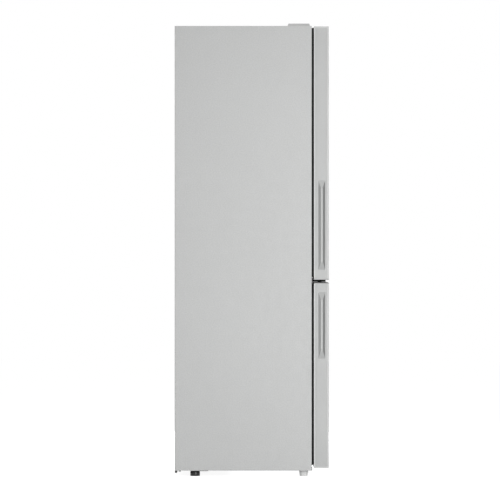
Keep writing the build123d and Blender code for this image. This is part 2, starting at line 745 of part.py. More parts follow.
ROTOR_Y = COVER_Y + FAN_GAP
MOTOR_Y = ROTOR_Y + FAN_DEPTH + RUN_GAP
POST_RADIUS = FAN_RADIUS + ARM_CLEAR + ARM_WIDTH / 2

with BuildPart() as fan_motor:
    prism(facing(MOTOR_Y), (0, FAN_Z), MOTOR_RADIUS, MOTOR_SIDES, -MOTOR_DEPTH)
    for turn in (90, 210, 330):
        with BuildSketch(facing(MOTOR_Y)):
            with Locations((0, FAN_Z)):
                with PolarLocations(POST_RADIUS / 2, 1, start_angle=turn):
                    Rectangle(POST_RADIUS + ARM_WIDTH, ARM_WIDTH)
        extrude(amount=-ARM_WIDTH)
        with BuildSketch(facing(COVER_Y)):
            with Locations((0, FAN_Z)):
                with PolarLocations(POST_RADIUS, 1, start_angle=turn):
                    Rectangle(ARM_WIDTH, ARM_WIDTH)
        extrude(amount=-(MOTOR_Y - COVER_Y))
    rod(facing(MOTOR_Y), (0, FAN_Z), SHAFT_RADIUS + SHAFT_CLEARANCE, -MOTOR_DEPTH, Mode.SUBTRACT)
save(fan_motor, "fan_motor")

with BuildPart() as fan_rotor:
    prism(facing(ROTOR_Y), (0, FAN_Z), FAN_HUB, 2 * FAN_BLADES, -FAN_DEPTH)
    rod(facing(ROTOR_Y), (0, FAN_Z), SHAFT_RADIUS, -(FAN_DEPTH + RUN_GAP + SHAFT_REACH))
    for blade in range(FAN_BLADES):
        outward = Vector(1, 0, 0).rotate(Axis.Y, blade * 360 / FAN_BLADES)
        normal = Vector(0, -1, 0).rotate(Axis((0, 0, 0), outward), BLADE_PITCH)
        radial = Plane(origin=(0, ROTOR_Y + FAN_DEPTH / 2, FAN_Z), x_dir=outward, z_dir=normal)
        with BuildSketch(radial.offset(-BLADE_SHEET / 2)):
            with BuildLine():
                Polyline(
                    (FAN_HUB / 2, -BLADE_WIDTH / 4),
                    (BLADE_TIP, -BLADE_WIDTH / 2),
                    (BLADE_TIP, BLADE_WIDTH / 2),
                    (FAN_HUB / 2, BLADE_WIDTH / 4),
                    close=True,
                )
            make_face()
        extrude(amount=BLADE_SHEET)
save(fan_rotor, "fan_rotor")

# Fridge shelves

for number, shelf in enumerate(SHELVES, start=1):
    with BuildPart() as glass_shelf:
        glass_y = (SHELF_FRONT + TRIM_WALL, SHELF_REAR - TRIM_WALL)
        slab(level(shelf), both_ways(FRIDGE_HALF - SHELF_FIT), glass_y, GLASS)
    save(glass_shelf, f"glass_shelf_{number}")


def trim_profile(shelf, edge, inward, over):
    """Section of a trim that grips one edge of a glass shelf, inward being the way to the glass."""
    outer = sorted((edge, edge + inward * TRIM_DEPTH))
    slot = sorted((edge + inward * TRIM_WALL, edge + inward * TRIM_DEPTH))
    rectangle(outer, (shelf - TRIM_UNDER, shelf + GLASS + TRIM_OVER))
    rectangle(sorted((edge, edge + inward * TRIM_WALL)), (shelf, shelf + GLASS + over))
    rectangle(slot, (shelf, shelf + GLASS), Mode.SUBTRACT)


with BuildPart() as shelf_trims:
    for shelf in SHELVES:
        with BuildSketch(across(-(FRIDGE_HALF - SHELF_FIT))):
            trim_profile(shelf, SHELF_FRONT, 1, TRIM_OVER)
            trim_profile(shelf, SHELF_REAR, -1, TRIM_UPSTAND)
        extrude(amount=2 * (FRIDGE_HALF - SHELF_FIT))
    long_edges = shelf_trims.edges().filter_by(Axis.X)
    nose_edges = long_edges.filter_by(lambda edge: abs(edge.center().Y - SHELF_FRONT) < FIT)
    chamfer(nose_edges, TRIM_CHAMFER)
save(shelf_trims, "shelf_trims")

with BuildPart() as air_duct:
    duct_z = (LID_Z + DUCT_MARGIN, FRIDGE_TOP - DUCT_MARGIN)
    with BuildSketch(level(duct_z[0])):
        with BuildLine():
            Polyline(
                (-DUCT_HALF, FRIDGE_REAR),
                (-DUCT_HALF + DUCT_BEVEL, FRIDGE_REAR - DUCT_DEPTH),
                (DUCT_HALF - DUCT_BEVEL, FRIDGE_REAR - DUCT_DEPTH),
                (DUCT_HALF, FRIDGE_REAR),
                close=True,
            )
        make_face()
    extrude(amount=duct_z[1] - duct_z[0])
    offset(amount=-DUCT_WALL, openings=air_duct.faces().sort_by(Axis.Y)[-1])
    with BuildSketch(facing(FRIDGE_REAR - DUCT_DEPTH)):
        for shelf in SHELVES:
            with Locations((0, shelf + SHELF_PITCH - DUCT_VENT_DROP)):
                with GridLocations(VENT_PITCH, 1, 2, 1):
                    Rectangle(VENT_LENGTH, VENT_WIDTH)
    extrude(amount=-DUCT_WALL, mode=Mode.SUBTRACT)
save(air_duct, "air_duct")

PANEL_Y = (SHELF_FRONT - PANEL_SETBACK + BIN_CLEAR, SHELF_FRONT - PANEL_SETBACK + BIN_CLEAR + PANEL_DEPTH)
LENS_Y = (PANEL_Y[1] - LENS_MARGIN - LENS_DEPTH, PANEL_Y[1] - LENS_MARGIN)
LENS_X = both_ways(PANEL_HALF - LENS_MARGIN)

with BuildPart() as control_panel:
    slab(level(FRIDGE_TOP), both_ways(PANEL_HALF), PANEL_Y, -PANEL_HEIGHT)
    fillet(control_panel.edges().filter_by(Axis.Z), PANEL_ROUND)
    slab(level(FRIDGE_TOP - PANEL_WALL), LENS_X, LENS_Y, -PANEL_HEIGHT, Mode.SUBTRACT)
save(control_panel, "control_panel")

with BuildPart() as lamp_lens:
    slab(level(FRIDGE_TOP - PANEL_WALL), LENS_X, LENS_Y, -PANEL_HEIGHT)
save(lamp_lens, "lamp_lens")

# Drawers


def grip_lip(y, z):
    """Hooked grip along the top of a drawer's front, reaching forwards and down."""
    with BuildSketch(across(-LIP_HALF)) as hook:
        with BuildLine():
            FilletPolyline((y, z), (y - LIP_REACH, z), (y - LIP_REACH, z - LIP_DROP), radius=LIP_ROUND)
            offset(amount=LIP_WALL, side=Side.LEFT)
        make_face()
    extrude(hook.sketch, amount=2 * LIP_HALF)


def drawer_tub(half, depth, height, wall=0, mode=Mode.ADD):
    """Block of a tub with rounded rear corners, less a wall all round but at its rim."""
    with BuildSketch(level(height[0] + wall)) as outline:
        rectangle(both_ways(half - wall), (depth[0] + wall, depth[1] - wall))
        fillet(outline.vertices().group_by(Axis.Y)[-1], DRAWER_CORNER - wall)
    extrude(outline.sketch, amount=height[1] - height[0] - wall, mode=mode)


with BuildPart() as crisper_drawer:
    crisper_front = SHELF_FRONT + CRISPER_SETBACK
    crisper_half = FRIDGE_HALF - CRISPER_SIDE
    crisper_z = (FRIDGE_FLOOR + RUN_GAP, CRISPER_TOP)
    crisper_y = (crisper_front + FASCIA / 2, SHELF_REAR - CRISPER_REAR)
    drawer_tub(crisper_half, crisper_y, crisper_z)
    crisper_face = (FRIDGE_FLOOR + FASCIA_UNDER, CRISPER_TOP + FASCIA_OVER)
    slab(facing(crisper_front), both_ways(crisper_half), crisper_face, -FASCIA)
    grip_lip(crisper_front, CRISPER_TOP - LIP_BELOW)
    drawer_tub(crisper_half, crisper_y, crisper_z, DRAWER_WALL, Mode.SUBTRACT)
save(crisper_drawer, "crisper_drawer")

for bay, (bay_floor, bay_top, bay_rear) in BAYS.items():
    with BuildPart() as freezer_drawer:
        rim = bay_top - DRAWER_HEAD
        tub_half = FREEZER_HALF - RUNNER - DRAWER_FIT
        tub_y = (DRAWER_FRONT + FASCIA / 2, bay_rear)
        tub_z = (bay_floor + TUB_UNDER, rim)
        drawer_tub(tub_half, tub_y, tub_z)
        fascia_z = (bay_floor + FASCIA_UNDER, rim + FASCIA_OVER)
        slab(facing(DRAWER_FRONT), both_ways(FREEZER_HALF - FASCIA_FIT), fascia_z, -FASCIA)
        grip_lip(DRAWER_FRONT, rim - LIP_BELOW)
        glide_z = bay_top - RUNNER_DROP + RUN_GAP
        glide_run = (DRAWER_FRONT + FASCIA, bay_rear - DRAWER_CORNER)
        for side in (-1, 1):
            glide_x = sorted((side * (tub_half - DRAWER_WALL), side * (FREEZER_HALF - GLIDE_FIT)))
            slab(level(glide_z), glide_x, glide_run, GLIDE)
        drawer_tub(tub_half, tub_y, tub_z, DRAWER_WALL, Mode.SUBTRACT)
    save(freezer_drawer, f"freezer_drawer_{bay}")

# Feet that turn on their studs

for name, side in (("left", -1), ("right", 1)):
    with BuildPart() as front_foot:
        foot_top = BASE - FOOT_GAP
        foot_spot = (side * FOOT_X, FRONT_FOOT_Y)
        prism(level(0), foot_spot, FRONT_FOOT_TOP, FOOT_SIDES, foot_top)
        # Below its collar the foot narrows to the floor.
        sole = front_foot.faces().sort_by(Axis.Z)[0]
        chamfer(sole.edges(), FRONT_FOOT_TOP - FRONT_FOOT_BOTTOM, foot_top - FOOT_COLLAR, reference=sole)
        rod(level(foot_top), foot_spot, STUD_RADIUS, STUD_LENGTH)
    save(front_foot, f"front_foot_{name}")

# Hinges

HINGE_AXIS = (HINGE_X, HINGE_Y)
SCREW_XS = [PLATE_X[0] + SCREW_MARGIN + index * SCREW_PITCH for index in range(2)]
ARM_BOTTOM = BASE + RAIL_PLATE_MARGIN
MIDDLE_ARM = MULLION_MID - HINGE_ARM / 2


def hinge_arm(z, depth, thickness):
    """Flat arm from the pin's eye back to the hinge plate."""
    with BuildSketch(level(z)) as arm:
        rectangle((HINGE_X - HINGE_ARM_HALF, HINGE_X + HINGE_ARM_HALF), (HINGE_Y, depth))
        with Locations(HINGE_AXIS):
            Circle(HINGE_ARM_HALF)
    extrude(arm.sketch, amount=thickness)


def hinge_pin(z, door_edge, way):
    """Pin and thrust collar from an arm's face at z into a door whose end is at door_edge."""
    prism(level(z), HINGE_AXIS, COLLAR_RADIUS, COLLAR_SIDES, door_edge - z - way * RUN_GAP)
    rod(level(z), HINGE_AXIS, PIN_RADIUS, door_edge - z + way * PIN_LENGTH)


def upright_plate(span):
    """Screwed plate of a hinge on the cabinet's front, with its screw holes."""
    slab(facing(FRONT), PLATE_X, span, HINGE_PLATE)
    for x in SCREW_XS:
        spot = (x, (span[0] + span[1]) / 2)
        prism(facing(FRONT), spot, SCREW_HOLE, SCREW_SIDES, HINGE_PLATE, Mode.SUBTRACT)


MIDDLE_PLATE = (MULLION_MID - HINGE_PLATE_HALF, MULLION_MID + HINGE_PLATE_HALF)
BOTTOM_PLATE = (ARM_BOTTOM, RAIL_TOP - RAIL_PLATE_MARGIN)
TOP_PLATE_Y = (FRONT + HINGE_BASE_SETBACK, FRONT + HINGE_BASE_SETBACK + HINGE_BASE_DEPTH)
TOP_SCREW_YS = (TOP_PLATE_Y[0] + SCREW_MARGIN, TOP_PLATE_Y[1] - SCREW_MARGIN)
TOP_SCREWS = [(x, y) for x in SCREW_XS for y in TOP_SCREW_YS]

with BuildPart() as top_hinge:
    slab(level(TOP), PLATE_X, TOP_PLATE_Y, HINGE_PLATE)
    hinge_arm(TOP, TOP_PLATE_Y[0], HINGE_PLATE)
    hinge_pin(TOP, UPPER_TOP, -1)
    for spot in TOP_SCREWS:
        prism(level(TOP), spot, SCREW_HOLE, SCREW_SIDES, HINGE_PLATE, Mode.SUBTRACT)
save(top_hinge, "top_hinge")

with BuildPart() as middle_hinge:
    upright_plate(MIDDLE_PLATE)
    hinge_arm(MIDDLE_ARM, FRONT, HINGE_ARM)
    hinge_pin(MIDDLE_ARM + HINGE_ARM, UPPER_BOTTOM, 1)
    hinge_pin(MIDDLE_ARM, LOWER_TOP, -1)
save(middle_hinge, "middle_hinge")

with BuildPart() as bottom_hinge:
    upright_plate(BOTTOM_PLATE)
    hinge_arm(ARM_BOTTOM, FRONT, HINGE_ARM)
    hinge_pin(ARM_BOTTOM + HINGE_ARM, LOWER_BOTTOM, 1)
save(bottom_hinge, "bottom_hinge")

with BuildPart() as hinge_screws:
    for spot in TOP_SCREWS:
        prism(level(TOP), spot, SCREW_RADIUS, SCREW_SIDES, HINGE_PLATE)
        prism(level(TOP + HINGE_PLATE), spot, SCREW_HEAD, HEAD_SIDES, SCREW_HEAD_HEIGHT)
    for span in (MIDDLE_PLATE, BOTTOM_PLATE):
        for x in SCREW_XS:
            spot = (x, (span[0] + span[1]) / 2)
            prism(facing(FRONT), spot, SCREW_RADIUS, SCREW_SIDES, HINGE_PLATE)
            prism(facing(FRONT - HINGE_PLATE), spot, SCREW_HEAD, HEAD_SIDES, SCREW_HEAD_HEIGHT)
    for side in (-1, 1):
        spot = (side * (RIGHT - BOLT_SIDE), REAR - BOLT_SETBACK)
        prism(level(BASE), spot, SCREW_RADIUS, SCREW_SIDES, BASE_SHEET)
        prism(level(BASE), spot, BOLT_HEAD, HEAD_SIDES, -BOLT_HEAD_HEIGHT)
save(hinge_screws, "hinge_screws")

with BuildPart() as mullion_blank:
    blank_x = (-PLATE_X[1] - BLANK_SIDE, -PLATE_X[0])
    slab(facing(FRONT), blank_x, MIDDLE_PLATE, HINGE_PLATE)
    chamfer(mullion_blank.edges().filter_by(Axis.Y), HINGE_PLATE)
save(mullion_blank, "mullion_blank")

COVER_X = (RIGHT - HINGE_COVER_SIDE - HINGE_COVER_WIDTH, RIGHT - HINGE_COVER_SIDE)
COVER_SPAN = (FRONT + HINGE_COVER_SETBACK, FRONT + HINGE_COVER_SETBACK + HINGE_COVER_DEPTH)


def cover_block(x, nose, wall=0, mode=Mode.ADD):
    """Hinge cover with slanted sides, drawn in by a wall. A nose reaches over the hinge's arm."""
    with BuildSketch(level(TOP)) as plan:
        rectangle((x[0] + wall, x[1] - wall), (COVER_SPAN[0] + wall, COVER_SPAN[1] - wall))
        if nose:
            nose_x = (x[1] - HINGE_COVER_ARM + wall, x[1] - wall)
            rectangle(nose_x, (HINGE_Y - HINGE_COVER_NOSE + wall, COVER_SPAN[1] - wall))
    extrude(plan.sketch, amount=COVER_HEIGHT - wall, taper=HINGE_COVER_SLANT, mode=mode)


with BuildPart() as hinge_cover_right:
    cover_block(COVER_X, True)
    cover_block(COVER_X, True, HINGE_COVER_WALL, Mode.SUBTRACT)
save(hinge_cover_right, "hinge_cover_right")

with BuildPart() as hinge_cover_left:
    blank_span = (-COVER_X[1], -COVER_X[0])
    cover_block(blank_span, False)
    cover_block(blank_span, False, HINGE_COVER_WALL, Mode.SUBTRACT)
save(hinge_cover_left, "hinge_cover_left")

# Doors


def core_outline():
    """Plan of what fills a door: from the grip to the hinge side, clear of the skin's folds."""
    corner = DOOR_FOLD - SHEET
    rectangle((LEFT + GRIP_WIDTH, RIGHT - SHEET), (DOOR_FRONT + SHEET, DOOR_BACK - LINER))
    hinge_side = [(RIGHT - SHEET, y) for y in (DOOR_FRONT + SHEET, DOOR_BACK - LINER)]
    for x, y in hinge_side:
        with Locations((x, y)):
            Rectangle(2 * corner, 2 * corner, rotation=45, mode=Mode.SUBTRACT)


def door_skin(bottom, top):
    """Folded steel front, hinge side and edges of a door."""
    with BuildSketch(level(bottom + CAP_PLATE)) as fold:
        with BuildLine():
            FilletPolyline(
                (LEFT, DOOR_FRONT + SKIN_WRAP),
                (LEFT, DOOR_FRONT),
                (RIGHT, DOOR_FRONT),
                (RIGHT, DOOR_BACK),
                (RIGHT - GRIP_WIDTH, DOOR_BACK),
                radius=DOOR_FOLD,
            )
            offset(amount=SHEET, side=Side.LEFT)
        make_face()
    extrude(fold.sketch, amount=top - bottom - 2 * CAP_PLATE)


def door_grip(bottom, top, recess):
    """Profile along the opening edge of a door, seamed near its back, with the boat-shaped finger recess."""
    with BuildSketch(level(bottom + CAP_PLATE)) as profile:
        with BuildLine():
            Polyline(
                (LEFT, DOOR_FRONT + SKIN_WRAP + SEAM),
                (LEFT + SHEET, DOOR_FRONT + SKIN_WRAP),
                (LEFT + SHEET, DOOR_FRONT + DOOR_FOLD),
                (LEFT + DOOR_FOLD, DOOR_FRONT + SHEET),
                (LEFT + GRIP_WIDTH, DOOR_FRONT + SHEET),
                (LEFT + GRIP_WIDTH, DOOR_BACK),
                (LEFT, DOOR_BACK),
                (LEFT, DOOR_BACK - EDGE_STRIP),
                (LEFT + SEAM, DOOR_BACK - EDGE_STRIP - SEAM / 2),
                (LEFT, DOOR_BACK - EDGE_STRIP - SEAM),
                close=True,
            )
        make_face()
    extrude(profile.sketch, amount=top - bottom - 2 * CAP_PLATE)
    with BuildSketch(across(LEFT)) as mouth:
        rectangle((RECESS_BACK - RECESS_WIDTH, RECESS_BACK), recess)
    with BuildSketch(across(LEFT + RECESS_DEPTH)) as floor:
        floor_back = RECESS_BACK - RECESS_SLOPE
        floor_z = (recess[0] + RECESS_RAMP, recess[1] - RECESS_RAMP)
        rectangle((floor_back - RECESS_FLOOR, floor_back), floor_z)
    loft([mouth.sketch, floor.sketch], ruled=True, mode=Mode.SUBTRACT)


def door_cap(outer, way):
    """End cap of a door: its plate is at outer, and its plug goes way, which is 1 or -1, into the door."""
    slab(level(outer), (LEFT, RIGHT), (DOOR_FRONT, DOOR_BACK), way * CAP_PLATE)
    with BuildSketch(level(outer + way * CAP_PLATE)) as plug:
        core_outline()
        rectangle(both_ways(RIGHT - GRIP_WIDTH), (DOOR_BACK - LINER, DOOR_BACK))
    extrude(plug.sketch, amount=way * (CAP_HEIGHT - CAP_PLATE))


def dyke_frame(y, half, span, wall, amount, mode):
    """Raised frame of a door liner, from a plane, with its walls drawn in by a wall thickness."""
    with BuildSketch(facing(y)) as frame:
        rectangle(both_ways(half - wall), (span[0] + wall, span[1] - wall))
        inner = DYKE_WIDTH - wall
        rectangle(both_ways(half - inner), (span[0] + inner, span[1] - inner), Mode.SUBTRACT)
    extrude(frame.sketch, amount=-amount, mode=mode)


def gasket_loop(bottom, top):
    """Magnetic gasket swept round the back of a door, between two heights."""
    half = RIGHT - GASKET_SIDE - GASKET_FOOT / 2
    low = bottom + GASKET_FOOT / 2
    high = top - GASKET_FOOT / 2
    with BuildLine(facing(DOOR_BACK)) as loop:
        Polyline((-half, low), (half, low), (half, high), (-half, high), close=True)
    with BuildSketch(Plane(origin=(0, DOOR_BACK, low), x_dir=(0, 1, 0), z_dir=(1, 0, 0))) as profile:
        with BuildLine():
            section = [
                (0, GASKET_FOOT / 2),
                (GASKET_FOOT_DEPTH, GASKET_FOOT / 2),
                (GASKET_FOOT_DEPTH, GASKET_WAIST / 2),
                (GASKET_WAIST_DEPTH, GASKET_WAIST / 2),
                (GASKET_WAIST_DEPTH, GASKET_HEAD / 2),
                (GASKET_DEPTH, GASKET_HEAD / 2),
            ]
            Polyline(*section, *[(x, -y) for x, y in reversed(section)], close=True)
        make_face()
    sweep(profile.sketch, path=loop.wires()[0], transition=Transition.RIGHT)


DOORS = {
    "upper_door": {
        "ends": (UPPER_BOTTOM, UPPER_TOP),
        "recess": (
            UPPER_BOTTOM + UPPER_RECESS_LIFT,
            UPPER_BOTTOM + UPPER_RECESS_LIFT + UPPER_RECESS_LENGTH,
        ),
        "dyke": (FRIDGE_HALF - DYKE_FIT, (FRIDGE_FLOOR + DYKE_FIT, FRIDGE_TOP - DYKE_FIT), UPPER_DYKE),
        "seal": (UPPER_BOTTOM + GASKET_END, UPPER_TOP - GASKET_TOP),
    },
    "lower_door": {
        "ends": (LOWER_BOTTOM, LOWER_TOP),
        "recess": (
            LOWER_TOP - LOWER_RECESS_DROP - LOWER_RECESS_LENGTH,
            LOWER_TOP - LOWER_RECESS_DROP,
        ),
        "dyke": (FREEZER_HALF - DYKE_FIT, (FREEZER_FLOOR + DYKE_FIT, FREEZER_TOP - DYKE_FIT), LOWER_DYKE),
        "seal": (LOWER_BOTTOM + GASKET_END, LOWER_TOP - GASKET_END),
    },
}

for door, sizes in DOORS.items():
    door_bottom, door_top = sizes["ends"]
    dyke_half, dyke_span, dyke_reach = sizes["dyke"]
    core_span = (door_bottom + CAP_HEIGHT, door_top - CAP_HEIGHT)

    with BuildPart() as skin:
        door_skin(door_bottom, door_top)
    save(skin, f"{door}_skin")

    with BuildPart() as grip:
        door_grip(door_bottom, door_top, sizes["recess"])
    save(grip, f"{door}_grip")

    with BuildPart() as top_cap:
        door_cap(door_top, -1)
        fillet(top_cap.faces().sort_by(Axis.Z)[-1].edges().filter_by(Axis.X).sort_by(Axis.Y)[0], SHEET)
        rod(level(door_top), HINGE_AXIS, PIN_RADIUS + PIN_CLEARANCE, -BUSH_DEPTH, Mode.SUBTRACT)
    save(top_cap, f"{door}_top_cap")

    with BuildPart() as bottom_cap:
        door_cap(door_bottom, 1)
        fillet(bottom_cap.faces().sort_by(Axis.Z)[0].edges().filter_by(Axis.X).sort_by(Axis.Y)[0], SHEET)
        rod(level(door_bottom), HINGE_AXIS, PIN_RADIUS + PIN_CLEARANCE, BUSH_DEPTH, Mode.SUBTRACT)
    save(bottom_cap, f"{door}_bottom_cap")

    with BuildPart() as core:
        with BuildSketch(level(core_span[0])):
            core_outline()
        extrude(amount=core_span[1] - core_span[0])
        dyke_frame(DOOR_BACK - LINER, dyke_half, dyke_span, LINER, dyke_reach, Mode.ADD)
    save(core, f"{door}_foam")

    with BuildPart() as liner:
        slab(facing(DOOR_BACK - LINER), both_ways(RIGHT - GRIP_WIDTH), core_span, -LINER)
        dyke_frame(DOOR_BACK - LINER, dyke_half, dyke_span, 0, dyke_reach + LINER, Mode.ADD)
        fillet(liner.faces().sort_by(Axis.Y)[-1].edges(), DYKE_ROUND)
        dyke_frame(DOOR_BACK - LINER, dyke_half, dyke_span, LINER, dyke_reach, Mode.SUBTRACT)
        if door == "upper_door":
            for bin_z in BINS:
                for side in (-1, 1):
                    ledge_end = BIN_HALF + BIN_FIT
                    ledge_x = sorted((side * ledge_end, side * (ledge_end - LEDGE_WIDTH)))
                    slab(level(bin_z), ledge_x, (DOOR_BACK, DOOR_BACK + LEDGE_DEPTH), -LEDGE_HEIGHT)
    save(liner, f"{door}_liner")

    with BuildPart() as gasket:
        gasket_loop(*sizes["seal"])
    save(gasket, f"{door}_gasket")

for number, bin_z in enumerate(BINS, start=1):
    with BuildPart() as door_bin:
        slab(level(bin_z), both_ways(BIN_HALF), (DOOR_BACK, DOOR_BACK + BIN_DEPTH), BIN_HEIGHT)
        fillet(door_bin.edges().filter_by(Axis.Z).group_by(Axis.Y)[-1], BIN_CORNER)
        offset(amount=-BIN_WALL, openings=door_bin.faces().sort_by(Axis.Z)[-1])
    save(door_bin, f"door_bin_{number}")
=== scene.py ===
import json
import math

import bmesh
import bpy
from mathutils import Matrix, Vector


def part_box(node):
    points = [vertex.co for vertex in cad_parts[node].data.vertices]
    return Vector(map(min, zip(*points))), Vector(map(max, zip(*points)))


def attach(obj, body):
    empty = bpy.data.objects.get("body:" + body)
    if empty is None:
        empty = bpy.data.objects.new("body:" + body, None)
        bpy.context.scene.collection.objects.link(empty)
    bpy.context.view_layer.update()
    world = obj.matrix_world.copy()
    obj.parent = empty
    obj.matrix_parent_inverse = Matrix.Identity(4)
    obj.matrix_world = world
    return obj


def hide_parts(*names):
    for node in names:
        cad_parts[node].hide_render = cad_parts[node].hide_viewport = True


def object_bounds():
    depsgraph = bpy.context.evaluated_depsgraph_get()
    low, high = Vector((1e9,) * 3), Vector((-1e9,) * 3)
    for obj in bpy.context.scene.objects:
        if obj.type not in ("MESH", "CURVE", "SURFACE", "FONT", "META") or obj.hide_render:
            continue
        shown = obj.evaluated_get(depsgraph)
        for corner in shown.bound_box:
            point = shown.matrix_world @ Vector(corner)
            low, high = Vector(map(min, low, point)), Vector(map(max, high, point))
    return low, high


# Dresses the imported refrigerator: procedural finishes on every node, soft and rounded pieces in place of
# plain solids, then light, floor and camera. All lengths are in metres, in the frame of the part.

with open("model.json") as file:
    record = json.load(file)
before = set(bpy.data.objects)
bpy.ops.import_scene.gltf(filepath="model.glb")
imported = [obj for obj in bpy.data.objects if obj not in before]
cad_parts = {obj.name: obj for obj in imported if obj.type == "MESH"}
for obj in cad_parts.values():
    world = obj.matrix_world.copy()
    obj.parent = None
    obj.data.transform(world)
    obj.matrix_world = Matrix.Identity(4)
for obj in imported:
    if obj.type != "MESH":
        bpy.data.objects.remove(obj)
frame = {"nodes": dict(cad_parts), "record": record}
cad_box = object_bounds()
nodes = frame["nodes"]

X_AXIS = Vector((1.0, 0.0, 0.0))
Y_AXIS = Vector((0.0, 1.0, 0.0))
Z_AXIS = Vector((0.0, 0.0, 1.0))

# Parts that come more than once
DOORS = ("upper_door", "lower_door")
FRONT_FEET = ("left", "right")
BIN_COUNT = 3

# Steps in a quarter turn, sides of small and large round parts, and the angle from which edges are sharp
ROUND_STEPS = 10
TUBE_SIDES = 20
TURNED_SIDES = 48
SHARP_ANGLE = 35.0

# Door seals: half their width, and the weld at a corner, where the section shrinks about its middle
SEAL_HALF = 0.008
WELD_LENGTH = 0.0014
WELD_SINK = 0.92
SEAL_MIDDLE = 0.54

# Section of a seal, outwards and away from the door in parts of its half width: foot and bellows of one
# side, which the other side mirrors, and between them the magnet's pocket with its lip
SEAL_BELLOWS = (
    (1.00, 0.00), (1.00, 0.11), (0.82, 0.18), (0.60, 0.23), (0.52, 0.32), (0.66, 0.41), (0.73, 0.49),
    (0.58, 0.56), (0.55, 0.62),
)
SEAL_POCKET = (
    (0.74, 0.68), (0.88, 0.79), (0.85, 0.94), (0.70, 1.05), (0.50, 1.085), (0.25, 1.07), (0.00, 1.06),
    (-0.25, 1.07), (-0.50, 1.085), (-0.74, 1.06), (-0.95, 0.99), (-0.97, 0.93), (-0.80, 0.88),
    (-0.82, 0.77), (-0.72, 0.68),
)

# Corners of a seal along its sweep: their side, and the directions in which the sweep comes and goes
SEAL_CORNERS = (
    (-1, -1, -Z_AXIS, X_AXIS),
    (1, -1, X_AXIS, Z_AXIS),
    (1, 1, Z_AXIS, -X_AXIS),
    (-1, 1, -X_AXIS, -Z_AXIS),
)

# Compressor
SHELL_LENGTH = 0.190
SHELL_WIDTH = 0.150
SHELL_CORNER = 0.055
SHELL_HEIGHT = 0.170
LOWER_SHELL = 0.086
STRAP_WIDTH = 0.034
STRAP_HEIGHT = 0.003
STRAP_CORNER = 0.012
BOTTOM_ROUND = 0.026
BOTTOM_INSET = 0.024
DOME_ROUND = 0.060
DOME_INSET = 0.046

# Rolled flange of the compressor, and its section as parts of the reach inwards and of the half height
FLANGE_REACH = 0.004
FLANGE_HALF = 0.003
FLANGE_SECTION = ((0.0, -1.0), (-1.0, -0.7), (-1.0, 0.7), (0.0, 1.0))

# Rubber mounts under the compressor, with their profile as parts of the height and of the radius
GROMMET_RADIUS = 0.011
GROMMET_PROFILE = (
    (0.0, 0.88), (0.1, 1.0), (0.3, 1.0), (0.4, 0.74), (0.6, 0.74), (0.7, 1.0), (0.9, 1.0), (1.0, 0.86),
)

# Refrigerant pipes, and the filter drier, which is a hair wider so that its ends cover the pipe
PIPE_RADIUS = 0.003
PIPE_REACH = 0.070
PIPE_BEND = 0.018
DRIER_RADIUS = 0.009
DRIER_LENGTH = 0.090
DRIER_NECK = 0.014
DRIER_COVER = 1.001

# Levelling feet, with their profile as heights, radii and the share of the flutes' depth there
FOOT_FLUTES = 18
FLUTE_STEPS = 8
FLUTE_DEPTH = 0.0009
FOOT_PROFILE = (
    (0.0000, 0.0150, 0.0), (0.0004, 0.0156, 0.0), (0.0016, 0.0160, 1.0), (0.0100, 0.0171, 1.0),
    (0.0180, 0.0183, 1.0), (0.0194, 0.0184, 0.0), (0.0198, 0.0188, 0.0), (0.0221, 0.0188, 0.0),
    (0.0225, 0.0184, 0.0), (0.0225, 0.0050, 0.0),
)

# Rear feet, with their profile as heights and as parts of the radius
REAR_FOOT_RADIUS = 0.020
REAR_FOOT_PROFILE = (
    (0.0000, 0.92), (0.0005, 0.96), (0.0013, 0.99), (0.0022, 1.00), (0.0150, 1.00), (0.0170, 0.98),
    (0.0180, 0.94), (0.0190, 0.93), (0.0210, 0.93),
)

# Shroud of the middle hinge, set in from the right side and the front, with a gap to both doors
SHROUD_SIDE = 0.0025
SHROUD_FRONT = 0.0045
SHROUD_HALF_X = 0.0155
SHROUD_HALF_Y = 0.0315
SHROUD_CORNER = 0.0120
SHROUD_ROUND = 0.0008
SHROUD_GAP = 0.0007

# Rims of the door bins
RIM_RADIUS = 0.0018
BIN_WALL = 0.0024
BIN_CORNER = 0.006

# Touch strip of the control panel, and its marks, which stand a little higher
TOUCH_HALF_X = 0.062
TOUCH_HALF_Z = 0.0042
TOUCH_CORNER = 0.98 * TOUCH_HALF_Z
TOUCH_DEPTH = 0.0006
MARK_COUNT = 5
MARK_RADIUS = 0.0020
MARK_PITCH = 0.022
MARK_DEPTH = 1.3 * TOUCH_DEPTH

# Widths of the edge rounding that the solids leave out, with the nodes that get it
EDGE_ROUND = {
    0.0004: (
        "hinge_screws", "front_rail", "top_hinge", "middle_hinge", "bottom_hinge", "compressor_base_plate",
    ),
    0.0005: ("shelf_trims", "glass_shelf_1", "glass_shelf_2", "glass_shelf_3", "glass_shelf_4"),
    0.0006: ("evaporator_cover", "drip_tray", "mullion_blank"),
    0.0008: ("crisper_drawer", "freezer_drawer_top", "freezer_drawer_middle", "freezer_drawer_bottom"),
    0.0010: ("hinge_cover_left", "hinge_cover_right", "lamp_lens", "compressor_terminal_cover"),
    0.0015: ("control_panel", "air_duct"),
}

# Angle from which an edge is rounded, in how many segments, and the reach in which its facets are joined
EDGE_ANGLE = 30.0
EDGE_SEGMENTS = 2
JOIN_REACH = 0.00001

# Painted highlight, a pale strip along the rear edge of the grip profile: how far before its back it
# starts, and is full
HIGHLIGHT_STRIP = (0.0050, 0.0044)

# Painted shade on the long walls of the finger recess: depth under the door's side face, and how far they
# face across it
RECESS_DEPTH = (0.0004, 0.0016)
RECESS_FACING = (0.5, 0.7)

# Painted shade, black, on the faces of the gap between the doors: how far from the gap it ends, and is
# full
GAP_EDGE = 0.0007
GAP_FACE = 0.0003

# Bolts of the base: the height at which their plating ends, and the one under which they are black
BLACK_BOLTS = (0.0232, 0.0230)

